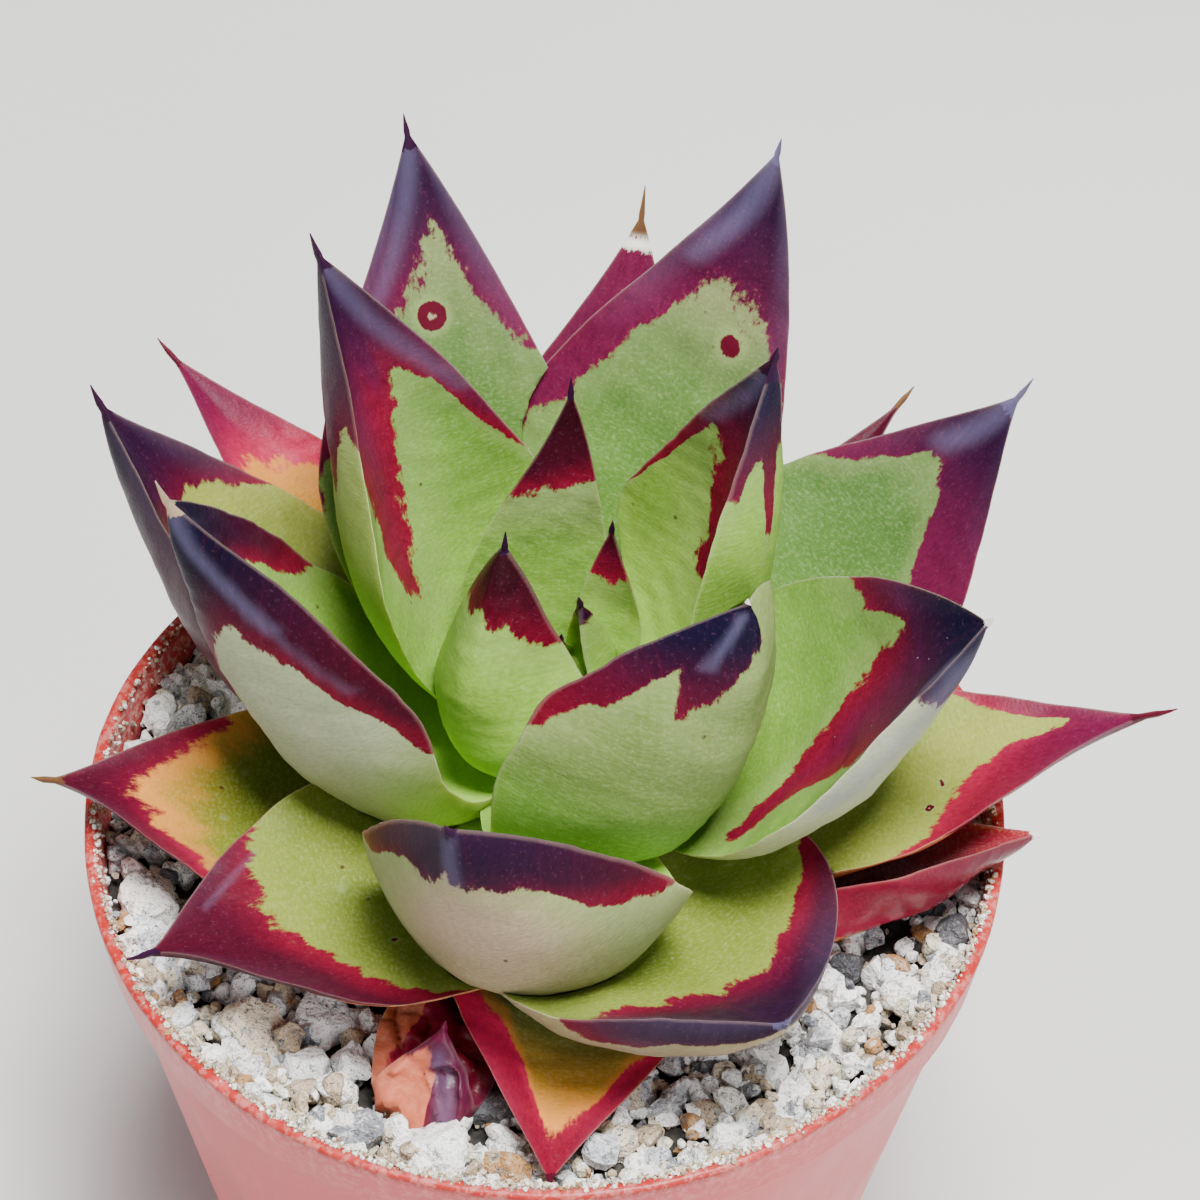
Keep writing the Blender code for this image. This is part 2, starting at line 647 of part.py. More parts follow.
def make_leaves(group, cutters, stem, materials):
    """Leaves from the inside out, each cut clear of the ones inside it.

    Returns the grown copies of stem and leaves.
    """
    inner = [grown_copy(stem, cutters)]
    for row in LEAVES:
        leaf = read_leaf(row)
        obj = loft(leaf["name"], leaf_sections(leaf, LEAF_ROWS, LEAF_POINTS), group)
        whole = grown_copy(obj, cutters)
        for cutter in inner:
            if boxes_meet(obj, cutter):
                cut(obj, cutter, "MANIFOLD")
        keep_largest_body(obj)
        inner.append(whole)
        shade(obj, materials["leaf_" + leaf["finish"]], LEAF_SHARP_ANGLE)
    return inner


def main():
    """Build every piece of the potted succulent."""
    clear_scene()
    random = np.random.default_rng(SEED)
    pieces = make_collection("potted_succulent")
    cutters = make_collection("cutters", hidden=True)
    materials = {name: make_material(name) for name in FINISHES}
    shade(make_pot(pieces, cutters), materials["pot_plastic"])
    shade(make_soil(pieces, cutters), materials["soil"])
    gravel = make_gravel(pieces, cutters, random)
    stem = make_stem(pieces)
    for cutter in make_leaves(pieces, cutters, stem, materials):
        if boxes_meet(gravel, cutter):
            cut(gravel, cutter)
    keep_largest_body(gravel)
    shade(gravel, materials["gravel"], STONE_SHARP_ANGLE)
    shade(stem, materials["stem"])
    for cutter in cutters.objects:
        cutter.display_type = "WIRE"
        cutter.hide_render = True


main()
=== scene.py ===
"""Potted succulent, dressed for its picture: fine leaves with crimson and purple margins, a stem
with its folded buds, a gravel bed of separate stones and grit, and a turned plastic pot.
The pot stands on z = 0 around the Z axis, and the picture looks towards +Y. Lengths are metres.
"""
import math

import bmesh
import bpy
import numpy as np
from mathutils import Matrix, Vector


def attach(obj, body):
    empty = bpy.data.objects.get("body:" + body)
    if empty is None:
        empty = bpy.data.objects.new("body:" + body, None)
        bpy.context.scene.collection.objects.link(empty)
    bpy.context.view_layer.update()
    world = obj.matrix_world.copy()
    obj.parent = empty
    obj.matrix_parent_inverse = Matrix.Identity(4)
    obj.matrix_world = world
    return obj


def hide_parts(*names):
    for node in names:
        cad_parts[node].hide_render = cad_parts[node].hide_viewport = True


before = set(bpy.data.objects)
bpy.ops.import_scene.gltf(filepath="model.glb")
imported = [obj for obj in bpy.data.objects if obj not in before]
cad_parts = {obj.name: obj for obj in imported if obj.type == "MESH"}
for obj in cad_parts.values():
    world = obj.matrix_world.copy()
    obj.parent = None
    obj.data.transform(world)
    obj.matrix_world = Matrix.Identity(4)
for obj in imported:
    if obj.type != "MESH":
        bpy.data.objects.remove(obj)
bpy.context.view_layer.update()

MM = 0.001

# Pot and fill, as in the part's source
POT_HEIGHT = 76.0 * MM
RIM_RADIUS = 45.0 * MM
RIM_INNER_RADIUS = 43.7 * MM
BAND_HEIGHT = 7.0 * MM
BAND_FOOT_RADIUS = 44.3 * MM
WALL_TOP_RADIUS = 43.4 * MM
WALL_FOOT_RADIUS = 32.5 * MM
BAND_INNER_RADIUS = 43.0 * MM
WALL_INNER_TOP_RADIUS = 42.2 * MM
FLOOR_RADIUS = 31.2 * MM
FLOOR_THICKNESS = 1.5 * MM
DRAIN_COUNT = 5
DRAIN_RADIUS = 4.0 * MM
DRAIN_CIRCLE_RADIUS = 19.0 * MM
SOIL_DEPTH = 13.5 * MM
GRAVEL_INNER_DEPTH = 8.6 * MM
GRAVEL_MIDDLE_DEPTH = 6.6 * MM
GRAVEL_WALL_DEPTH = 4.4 * MM
GRAVEL_MIDDLE_RADIUS = 30.0 * MM
GRAVEL_BOTTOM = POT_HEIGHT - SOIL_DEPTH + 0.3 * MM
# Inner side of the wall from the floor to the lip: radius and height
POT_INNER_PROFILE = (
    (FLOOR_RADIUS, FLOOR_THICKNESS),
    (WALL_INNER_TOP_RADIUS, POT_HEIGHT - BAND_HEIGHT - 1.0 * MM),
    (BAND_INNER_RADIUS, POT_HEIGHT - BAND_HEIGHT + 0.6 * MM),
    (RIM_INNER_RADIUS, POT_HEIGHT),
)
# Rounded corners: their size, and the greatest share of a line beside them that they take
POT_CORNER = 0.5 * MM
CORNER_SHARE = 0.45
POT_STEPS = 256
POT_SHARP_ANGLE = 50.0
# Unevenness of the wall: size and length of its waves
POT_WOBBLES = ((0.10 * MM, 30.0 * MM), (0.03 * MM, 5.0 * MM))
DRAIN_STEPS = 40

# Plant
PLANT_X = 2.0 * MM
PLANT_Y = 2.5 * MM
PLANT_BASE_HEIGHT = POT_HEIGHT + 5.0 * MM
STEM_RADIUS = 5.7 * MM
# Stem from its top to its foot: radius and height above the plant's base plane
STEM_PROFILE = (
    (0.0, 12.5 * MM), (2.0 * MM, 12.5 * MM), (3.3 * MM, 8.5 * MM), (STEM_RADIUS, 4.5 * MM),
    (STEM_RADIUS, -12.0 * MM), (3.6 * MM, -24.0 * MM), (0.0, -24.0 * MM),
)
STEM_CORNER = 1.2 * MM
STEM_STEPS = 72

# Shape of a leaf where its row says nothing else: lengths in millimetres, angles in degrees
LEAF_DEFAULTS = {
    "root_radius": 6.0, "root_turn": None, "tip_turn": None, "face": None, "roll": 0.0,
    "thick": 6.0, "cup": 3.0, "keel": 1.0, "root_width": 0.4, "widest": 0.42,
    "taper": 1.5, "point": 1.0, "root_pull": 0.38, "tip_pull": 0.38,
}
# Each leaf, as in the part's source: its finish, turn and reach of its tip from the stem's axis,
# height of its tip, turn and height of its root, rise of its midrib at the root and at the tip,
# width. Degrees and millimetres; heights are above the plant's base plane. Inner leaves come
# first.
LEAVES = (
    ("leaf_01", "green", 59, 6.5, 26, 30, 11, 75, 85, 7,
     {"thick": 3.0, "cup": 0.6, "face": 70, "widest": 0.3, "taper": 1.3, "root_radius": 3.0}),
    ("leaf_02", "green", -166, 6.5, 31, -130, 7, 20, 92, 20,
     {"thick": 5.0, "cup": 4.0, "face": -122, "root_width": 0.6, "root_radius": 4.5,
      "widest": 0.3, "taper": 1.25}),
    ("leaf_03", "green", 94, 13.5, 36, 125, 8, 60, 80, 15,
     {"thick": 5.0, "cup": 1.0, "face": 100, "widest": 0.3, "taper": 1.15, "root_radius": 4.0}),
    ("leaf_04", "green", -38, 19.5, 36, -70, 5, 0, 85, 31,
     {"cup": 8.0, "face": -47, "root_width": 0.7, "taper": 3.0}),
    ("leaf_05", "green", 34, 21, 43, 25, 5, 48, 72, 22,
     {"cup": 6.0, "face": 15, "taper": 1.3}),
    ("leaf_06", "green", 141, 31.5, 46, 148, 4, 33, 62, 25,
     {"cup": 7.0, "face": 152, "taper": 1.3, "thick": 6.5}),
    ("leaf_07", "green", -106, 35, 30, -95, 3, -14, 62, 31,
     {"cup": 5.0, "roll": 8, "face": -110, "tip_turn": -121, "root_pull": 0.62,
      "tip_pull": 0.42, "taper": 2.0, "widest": 0.45, "thick": 7.8, "keel": 0.1}),
    ("leaf_08", "green", -9, 38, 28, -20, 3, 2, 52, 30,
     {"cup": 5.5, "face": -12, "roll": 8, "taper": 2.0, "widest": 0.45, "thick": 6.8,
      "keel": 0.3}),
    ("leaf_09", "green", 179, 37, 33, -160, 2, -14, 66, 34,
     {"cup": 8.0, "face": 186, "roll": 24, "taper": 2.1, "point": 1.2}),
    ("leaf_10", "green", 66, 44, 43, 84, 2, 32, 60, 27.5, {"taper": 1.4}),
    ("leaf_11", "green", 113, 46, 42, 130, 2, 30, 60, 27, {"taper": 1.3}),
    ("leaf_12", "olive", -61, 42, 8, -78, 0, -6, 38, 35,
     {"cup": 4.0, "taper": 2.2, "widest": 0.5, "face": -72, "tip_turn": -55, "thick": 8.5,
      "keel": 0.0}),
    ("leaf_13", "green", 33, 51, 24, 24, 0, 18, 45, 31, {"taper": 1.8, "point": 1.2}),
    ("leaf_14", "olive", 156, 50.5, 25, 172, -1, -5, 62, 29,
     {"cup": 6.0, "face": 168, "roll": 10, "taper": 2.0, "point": 1.3}),
    ("leaf_15", "red", 84, 50, 26, 100, -1, 20, 42, 22, {"taper": 1.3}),
    ("leaf_16", "olive", 2, 56.5, 7, -23, -2, 8, 15, 23.5, {"taper": 1.6, "point": 1.45}),
    ("leaf_17", "olive", -144, 47, 2, -111, -0.5, -2, 12, 29,
     {"taper": 2.6, "point": 1.7, "face": -129}),
    ("leaf_18", "olive", 75, 46, -1, 72, -6, 4, 8, 20, {"thick": 5.0}),
    ("leaf_19", "red", 136, 59.5, 12, 134, -5, 8, 18, 21,
     {"taper": 1.3, "point": 1.2, "thick": 5.0}),
    ("leaf_20", "red", 51, 52.5, 10, 44, -4, 10, 15, 17,
     {"taper": 1.2, "point": 1.3, "thick": 5.0}),
    ("leaf_21", "red", -172, 50.5, 1.5, -151, -7, 0, 12, 30,
     {"taper": 2.0, "point": 1.5, "face": -156, "thick": 5.0}),
    ("leaf_22", "olive", 104, 46.5, 0, 106, -6, 4, 10, 20, {"thick": 5.0}),
    ("leaf_23", "red", -9, 46, -0.5, -40, -10, 0, 14, 22,
     {"face": 0, "roll": -36, "tip_turn": 15, "thick": 5.5, "root_width": 0.2,
      "widest": 0.68}),
    ("leaf_24", "red", -90, 45, -6.5, -88, -9.5, 2, -1, 26,
     {"cup": 4.0, "roll": -12, "point": 1.1, "thick": 3.6}),
    ("leaf_withered", "withered", -108, 33, -2, -116, -5, 6, 125, 12,
     {"cup": 0.0, "taper": 3.0, "widest": 0.5, "root_width": 0.7, "keel": 0.0,
      "root_pull": 0.65, "tip_pull": 0.6}),
)
LEAF_FIELDS = ("name", "finish", "tip_angle", "reach", "tip_height", "root_angle",
               "root_height", "root_rise", "tip_rise", "width", "shape")

# Buds folded together on the stem: each next one is turned on and ends lower and further out
BUD_COUNT = 4
BUD_TURN = 20.0
BUD_SPIRAL = 137.5
BUD_REACH = 0.5
BUD_TIP_HEIGHT = 21.5
BUD_STEP_DOWN = 5.5
BUD_ROOT_HEIGHT = 9.0
BUD_RISES = (70.0, 88.0)
BUD_WIDTH = 6.4
BUD_NARROWING = 0.3
BUD_SHAPE = {"root_radius": 0.4, "root_width": 0.8, "cup": 0.6, "thick": 3.2, "widest": 0.3,
             "taper": 1.3}

# Form of the leaves: powers of the sections and where along the leaf they change
ROUND_SECTION = 2.4
CUP_SECTION = 1.7
EDGE_SECTION = 0.8
CUP_FULL_AT = 0.5
KEEL_FROM = 0.35
KEEL_RUN = 0.5
ROOT_THICKNESS_SHARE = 0.6
THICKEST_AT = 0.35
THINNING_FROM = 0.2
THINNING_POWER = 2.4
TIP_HALF_WIDTH = 0.30 * MM
TIP_THICKNESS = 0.55 * MM
SPINE_END_SHARE = 0.16
SPINE_BEND = 0.12
# Mesh of the leaves: sections, closer together towards the tip, and points across each face
ROW_CROWDING = 1.25
LEAF_ROWS = 130
BUD_ROWS = 50
LEAF_POINTS = 36
TIP_ROWS = 8
ACROSS = -np.cos(np.linspace(0.0, math.pi, LEAF_POINTS + 1))
# Skin: a slow swell, fine ripples and, in a dried leaf, creases
SWELL = 0.22 * MM
SWELL_LENGTH = 9.0 * MM
RIPPLE = 0.05 * MM
RIPPLE_LENGTH = 2.2 * MM
RIPPLE_SEED = 50
CREASE = 0.22 * MM
CREASE_LENGTH = 5.0 * MM
CREASE_SHARPNESS = 6.0
CREASE_SEED = 90
CALM_WIDTH = 1.6
# Space between the leaves. Seen from above, a leaf is cut back further under the one inside it.
CUT_GAP = 0.12 * MM
CUT_LIFT = 4.0 * MM
LIFT_POWER = 6
LIFT_SLOPE = 4.0
LIFT_DELAY = 0.6

# Named colours of the plant, as 8-bit display values
COLOURS = {
    # glow is a brightened green for roots and inner faces in the shaded heart: painted light,
    # where light shines through the leaves
    "lime": (120, 158, 60), "leaf": (94, 132, 52), "moss": (68, 98, 46), "glow": (156, 196, 80),
    "olive": (100, 110, 34), "fern": (110, 124, 46), "sage": (130, 146, 92),
    "cream": (160, 174, 98), "ash": (166, 170, 144), "bone": (152, 132, 110),
    "amber": (188, 128, 46), "apricot": (208, 126, 60), "straw": (134, 142, 64),
    "peach": (206, 106, 80), "pink": (196, 40, 76), "rose": (144, 22, 52),
    "crimson": (112, 16, 38), "mulberry": (92, 20, 52), "wine": (64, 12, 30),
    "claret": (46, 10, 20), "plum": (36, 13, 40), "navy": (18, 13, 38),
    "lilac": (78, 74, 104), "husk": (84, 56, 38), "white": (228, 224, 212),
}

# Markings. "cap" and "under_cap" give, for places across the upper and lower face (-1 to 1),
# how far up the leaf its green ends. A band of red is a list of (along, from, to) across the face.
# "flesh" and "under_flesh" are colours at root and tip, and "turning" is where along the leaf the
# first turns into the second. "fade" is a colour that the flesh takes on between two places along
# the leaf, with its share, and "sides" the same between two places across the lower face. "flush"
# has the red's colours at its edge, in its depth and towards the tip, and "reach" says how deep
# in mm that depth lies. A spot is (face, across, along, radius in mm, pale middle); a streak is
# bluish wax with a painted sheen on it, a painted highlight along a keel or near a tip, given as
# (face, across, along, across, along, radius in mm, strength) from one end to the other; the
# margins near the tip get the same wax and painted sheen with a strength of their own; "tip" is
# (colour, start along, length of the spine in mm); "collar" is (colour, start along, end along);
# "crumple" and "ragged" stretch the lumps of the skin and the teeth of the red's edge.
EDGE_CAP = ((-1, 0.55), (-0.85, 0.68), (-0.6, 0.80), (-0.2, 0.86), (0.2, 0.86), (0.6, 0.80),
            (0.85, 0.68), (1, 0.55))
MARK_DEFAULTS = {
    "cap": EDGE_CAP, "under_cap": EDGE_CAP, "bands": (), "under_bands": (),
    "flesh": ("lime", "leaf"), "under_flesh": ("lime", "sage"),
    "flush": ("crimson", "wine", "plum"), "tip": ("plum", 0.985, 1.2), "collar": None,
    "spots": (), "wax_and_sheen_streaks": (), "margin_wax_sheen": 0.08, "fade": None, "reach": 3.6, "turning": (0.1, 0.75),
    "crumple": 1.0, "ragged": 1.0, "sides": None,
}
BUD_CAP = ((-1, 0.84), (0, 0.86), (1, 0.84))
# The buds take the brightened glow green: painted light in the shaded heart of the plant
BUD_MARKS = {
    "cap": BUD_CAP, "under_cap": BUD_CAP, "flesh": ("glow", "lime"),
    "under_flesh": ("glow", "lime"), "flush": ("wine", "wine", "plum"), "margin_wax_sheen": 0.0,
    "tip": ("plum", 0.97, 0.8),
}
# Flesh that starts at glow is painted light: a brighter green where light shines through the
# leaves into the shaded heart
MARKS = {
    "leaf_01": {
        "cap": ((-1, 0.7), (-0.7, 0.66), (0, 0.62), (0.6, 0.66), (1, 0.7)),
        "flesh": ("glow", "lime"), "flush": ("rose", "crimson", "wine"), "margin_wax_sheen": 0.0,
        "tip": ("plum", 0.97, 1.0)},
    "leaf_02": {
        "under_cap": ((-1, 0.74), (-0.5, 0.75), (-0.2, 0.77), (0.02, 0.77), (0.12, 0.75),
                      (0.2, 0.73), (0.45, 0.73), (0.7, 0.69), (1, 0.64)),
        "under_flesh": ("glow", "lime"), "flush": ("crimson", "wine", "claret"), "margin_wax_sheen": 0.0,
        "tip": ("plum", 0.97, 1.6)},
    "leaf_03": {
        "cap": ((-1, 0.7), (-0.5, 0.69), (0, 0.66), (0.5, 0.63), (1, 0.61)),
        "fade": ("sage", 0.4, 0.66, 0.6), "flush": ("crimson", "wine", "claret"), "reach": 2.2,
        "margin_wax_sheen": 0.0, "tip": ("plum", 0.97, 1.4)},
    "leaf_04": {
        "cap": ((-1, 0.6), (-0.9, 0.68), (-0.6, 0.82), (0, 0.9), (0.6, 0.88), (1, 0.86)),
        "under_cap": ((-1, 0.59), (-0.93, 0.65), (-0.87, 0.7), (-0.8, 0.75), (-0.72, 0.8),
                      (-0.64, 0.84), (-0.57, 0.8), (-0.5, 0.755), (-0.39, 0.755), (-0.3, 0.79),
                      (-0.15, 0.84), (0.0, 0.88), (0.15, 0.9), (0.25, 0.96), (0.4, 1.1), (1, 1.1)),
        "under_flesh": ("lime", "leaf"), "turning": (0.1, 0.55),
        "fade": ("bone", 0.35, 0.62, 0.28), "flush": ("crimson", "crimson", "navy"), "reach": 3.0,
        "wax_and_sheen_streaks": (("lower", -0.46, 0.86, -0.36, 0.97, 0.8, 0.55),), "margin_wax_sheen": 0.0,
        "tip": ("white", 1.0, 0.5)},
    "leaf_05": {
        "cap": ((-1, 0.66), (0.6, 0.78), (0.72, 0.77), (0.84, 0.7), (0.92, 0.6), (1, 0.46)),
        "bands": (((0.35, -1.2, 0.05), (0.4, -1.2, 0.17), (0.5, -1.2, 0.255), (0.6, -1.2, 0.385),
                   (0.7, -1.2, 0.51), (0.75, -1.2, 0.64), (0.79, -1.2, 1.2)),),
        "under_cap": ((-1, 0.72), (-0.9, 0.72), (-0.85, 0.8), (-0.65, 0.8), (-0.6, 0.62),
                      (-0.5, 0.6), (-0.42, 0.72), (-0.35, 0.78), (0, 0.8), (1, 0.8)),
        "flesh": ("glow", "lime"), "under_flesh": ("lime", "lime"),
        "flush": ("crimson", "crimson", "navy"),
        "wax_and_sheen_streaks": (("upper", 0.85, 0.78, 0.3, 0.97, 1.6, 0.5),), "tip": ("plum", 0.95, 1.0)},
    "leaf_06": {
        "cap": ((-1, 0.47), (-0.9, 0.55), (-0.83, 0.62), (-0.77, 0.69), (-0.62, 0.72),
                (-0.5, 0.745), (-0.35, 0.74), (-0.29, 0.7), (-0.22, 0.64), (0, 0.7), (1, 0.7)),
        "bands": (((0.29, 0.2, 0.28), (0.35, 0.1, 0.41), (0.4, 0.03, 0.44), (0.5, -0.06, 0.47),
                   (0.55, -0.12, 0.55), (0.6, -0.19, 0.68), (0.65, -0.25, 0.95),
                   (0.7, -0.29, 1.2), (0.8, -0.6, 1.3)),),
        "under_cap": ((-1, 0.5), (-0.7, 0.7), (0, 0.74), (0.3, 0.7), (0.55, 0.62), (0.62, 0.575),
                      (0.72, 0.62), (0.8, 0.7), (0.9, 0.74), (1, 0.7)),
        "under_flesh": ("glow", "cream"), "flush": ("crimson", "mulberry", "plum"),
        "wax_and_sheen_streaks": (("upper", -0.95, 0.66, -0.4, 0.97, 1.5, 0.45),), "tip": ("plum", 0.97, 2.0)},
    "leaf_07": {
        "cap": ((-1, 0.6), (-0.5, 0.8), (0, 0.86), (0.6, 0.8), (0.85, 0.62), (1, 0.52)),
        "under_cap": ((-1, 0.6), (-0.92, 0.69), (-0.86, 0.76), (-0.77, 0.82), (-0.68, 0.85),
                      (-0.5, 0.865), (-0.35, 0.855), (-0.22, 0.9), (-0.1, 0.895), (0.05, 0.87),
                      (0.3, 0.86), (0.5, 0.84), (0.62, 0.81), (0.72, 0.76), (0.76, 0.7),
                      (0.85, 0.64), (1, 0.55)),
        "flesh": ("glow", "lime"), "under_flesh": ("olive", "bone"),
        "sides": ("sage", 0.35, 0.8, 0.8),
        "wax_and_sheen_streaks": (("lower", -0.1, 0.97, -0.05, 0.88, 1.3, 0.5),), "margin_wax_sheen": 0.0,
        "tip": ("plum", 0.985, 0.8)},
    "leaf_08": {
        "cap": ((-1, 0.9), (0.55, 0.79), (0.63, 0.775), (0.7, 0.71), (1, 0.69)),
        "bands": (((0.31, -0.8, -0.72), (0.35, -0.77, -0.52), (0.4, -0.67, -0.38),
                   (0.45, -0.58, -0.2), (0.5, -0.52, -0.1), (0.55, -0.54, 0.0),
                   (0.6, -0.62, 0.18), (0.65, -0.7, 0.26), (0.7, -0.82, 0.34),
                   (0.75, -1.0, 0.48), (0.79, -1.3, 0.62), (0.82, -1.3, 1.3)),),
        "under_cap": ((-1, 0.86), (-0.5, 0.84), (0, 0.82), (0.5, 0.78), (0.9, 0.62), (1, 0.6)),
        "under_flesh": ("cream", "ash"), "flush": ("crimson", "mulberry", "navy"),
        "wax_and_sheen_streaks": (("upper", -0.95, 0.66, -0.6, 0.9, 1.8, 0.6),
                   ("lower", -0.95, 0.6, -0.6, 0.9, 3.0, 0.6)), "tip": ("white", 0.993, 0.8)},
    "leaf_09": {
        "cap": ((-1, 0.56), (-0.85, 0.6), (-0.7, 0.7), (0, 0.8), (0.6, 0.74), (0.8, 0.6),
                (0.9, 0.48), (1, 0.37)),
        "under_cap": ((-1, 0.62), (-0.2, 0.62), (0, 0.66), (0.15, 0.72), (0.28, 0.755),
                      (0.4, 0.765), (0.5, 0.745), (0.6, 0.71), (0.72, 0.67), (0.8, 0.6),
                      (0.9, 0.5), (0.95, 0.43), (1, 0.36)),
        "flesh": ("glow", "lime"), "under_flesh": ("cream", "ash"), "turning": (0.1, 0.6),
        "flush": ("crimson", "wine", "navy"),
        "wax_and_sheen_streaks": (("lower", 0.42, 0.96, 0.74, 0.75, 1.2, 0.6),
                   ("lower", 0.74, 0.75, 0.88, 0.6, 0.7, 0.3)), "margin_wax_sheen": 0.0,
        "tip": ("bone", 0.97, 2.2)},
    "leaf_10": {
        "cap": ((-1, 0.6), (-0.85, 0.66), (-0.75, 0.7), (-0.45, 0.735), (-0.2, 0.745), (0, 0.77),
                (0.2, 0.745), (0.35, 0.73), (0.5, 0.7), (0.55, 0.66), (0.6, 0.62), (0.66, 0.57),
                (0.72, 0.5), (0.8, 0.42), (1, 0.3)),
        "flesh": ("leaf", "moss"), "fade": ("bone", 0.6, 0.8, 0.45),
        "flush": ("mulberry", "mulberry", "plum"), "ragged": 3.0,
        "spots": (("upper", -0.27, 0.675, 1.1, False),),
        "wax_and_sheen_streaks": (("upper", 0.7, 0.8, 0.2, 0.98, 2.4, 0.6),), "margin_wax_sheen": 0.35,
        "tip": ("lilac", 0.978, 1.2)},
    "leaf_11": {
        "cap": ((-1, 0.62), (-0.9, 0.665), (-0.8, 0.69), (-0.7, 0.72), (-0.58, 0.73),
                (-0.5, 0.78), (-0.42, 0.8), (-0.35, 0.845), (-0.2, 0.85), (-0.1, 0.82),
                (0, 0.79), (0.12, 0.76), (0.3, 0.72), (0.5, 0.7), (0.7, 0.64), (0.85, 0.55),
                (1, 0.4)),
        "flesh": ("leaf", "moss"), "fade": ("bone", 0.64, 0.82, 0.25),
        "flush": ("mulberry", "mulberry", "plum"), "ragged": 3.2,
        "spots": (("upper", -0.03, 0.695, 1.5, True),),
        "wax_and_sheen_streaks": (("upper", 0.75, 0.72, 0.3, 0.97, 2.0, 0.45),), "margin_wax_sheen": 0.35,
        "tip": ("plum", 0.97, 1.5)},
    "leaf_12": {
        "cap": ((-1, 0.74), (-0.85, 0.71), (-0.6, 0.685), (-0.45, 0.7), (-0.25, 0.725),
                (-0.1, 0.74), (0.1, 0.745), (0.3, 0.74), (0.5, 0.725), (0.62, 0.68),
                (0.72, 0.64), (0.8, 0.6), (0.9, 0.52), (1, 0.45)),
        "under_cap": ((-1, 0.66), (-0.85, 0.67), (-0.78, 0.73), (-0.7, 0.82), (-0.55, 0.9),
                      (-0.3, 0.96), (0, 1.05), (0.5, 1.0), (0.9, 0.7), (1, 0.6)),
        "flesh": ("fern", "fern"), "under_flesh": ("sage", "bone"), "margin_wax_sheen": 0.2,
        "tip": ("lilac", 0.985, 0.7)},
    "leaf_13": {
        "cap": ((-1, 0.42), (-0.6, 0.52), (-0.38, 0.6), (-0.28, 0.65), (-0.25, 0.7),
                (-0.12, 0.755), (0.05, 0.78), (0.25, 0.8), (0.5, 0.825), (0.6, 0.79),
                (0.68, 0.75), (0.8, 0.72), (0.9, 0.685), (1, 0.65)),
        "flesh": ("leaf", "moss"), "flush": ("mulberry", "mulberry", "plum"),
        "wax_and_sheen_streaks": (("upper", 0.5, 0.85, 0.1, 0.97, 2.4, 0.5),), "tip": ("lilac", 0.96, 1.8)},
    "leaf_14": {
        "cap": ((-1, 0.69), (-0.85, 0.73), (-0.7, 0.76), (-0.5, 0.78), (-0.3, 0.77), (0, 0.76),
                (0.5, 0.7), (0.8, 0.55), (1, 0.5)),
        "under_cap": ((-1, 0.7), (0, 0.62), (0.4, 0.52), (0.6, 0.46), (0.8, 0.44), (0.9, 0.46),
                      (1, 0.5)),
        "flesh": ("straw", "straw"), "under_flesh": ("leaf", "sage"), "margin_wax_sheen": 0.2,
        "tip": ("plum", 0.97, 2.0)},
    "leaf_15": {
        "cap": ((-1, 0.3), (-0.5, 0.45), (0, 0.5), (0.5, 0.45), (1, 0.3)),
        "under_cap": ((-1, 0.4), (0, 0.6), (1, 0.4)),
        "flesh": ("olive", "amber"), "under_flesh": ("sage", "peach"),
        "flush": ("wine", "mulberry", "mulberry"), "reach": 6.0, "collar": ("white", 0.935, 0.956),
        "tip": ("husk", 0.958, 2.6)},
    "leaf_16": {
        "cap": ((-1, 0.47), (-0.9, 0.51), (-0.72, 0.55), (-0.55, 0.6), (-0.25, 0.655),
                (-0.08, 0.7), (0.03, 0.75), (0.15, 0.8), (0.4, 0.85), (0.55, 0.86), (0.6, 0.8),
                (0.7, 0.75), (0.8, 0.7), (0.9, 0.67), (1, 0.6)),
        "flesh": ("olive", "straw"), "under_flesh": ("olive", "peach"), "turning": (0.2, 0.62),
        "flush": ("rose", "crimson", "mulberry"), "reach": 4.0, "ragged": 1.5,
        "spots": (("upper", -0.5, 0.56, 0.5, True), ("upper", -0.22, 0.6, 0.45, True)),
        "tip": ("wine", 0.96, 2.0)},
    "leaf_17": {
        "cap": ((-1, 0.7), (-0.8, 0.725), (-0.5, 0.745), (-0.3, 0.73), (-0.1, 0.71), (0.1, 0.7),
                (0.3, 0.68), (0.45, 0.63), (0.6, 0.585), (0.7, 0.55), (0.8, 0.53), (0.9, 0.48),
                (1, 0.42)),
        "flesh": ("olive", "fern"), "under_flesh": ("olive", "peach"),
        "flush": ("crimson", "wine", "wine"), "reach": 3.5, "ragged": 1.3,
        "spots": (("upper", -0.2, 0.56, 0.35, False), ("upper", 0.35, 0.49, 0.35, False)),
        "wax_and_sheen_streaks": (("upper", -0.75, 0.72, -0.6, 0.84, 0.8, 0.3),), "tip": ("plum", 0.97, 1.8)},
    "leaf_18": {"flesh": ("olive", "olive")},
    "leaf_19": {
        "cap": ((-1, 0.62), (-0.6, 0.68), (-0.3, 0.71), (0, 0.74), (0.3, 0.76), (0.6, 0.75),
                (1, 0.62)),
        "flesh": ("olive", "amber"), "under_flesh": ("amber", "peach"), "turning": (0.3, 0.65),
        "flush": ("pink", "rose", "mulberry"), "reach": 6.0, "ragged": 1.8,
        "tip": ("wine", 0.97, 1.8)},
    "leaf_20": {
        "cap": ((-1, 0.4), (0, 0.6), (1, 0.4)),
        "flesh": ("olive", "amber"), "flush": ("mulberry", "mulberry", "wine"), "reach": 4.0,
        "tip": ("husk", 0.97, 1.6)},
    "leaf_21": {
        "cap": ((-1, 0.66), (-0.8, 0.69), (-0.6, 0.74), (-0.45, 0.8), (-0.25, 0.835), (0, 0.83),
                (0.2, 0.8), (0.45, 0.77), (0.6, 0.74), (0.72, 0.69), (0.85, 0.62), (1, 0.55)),
        "flesh": ("olive", "amber"), "under_flesh": ("olive", "peach"), "turning": (0.58, 0.9),
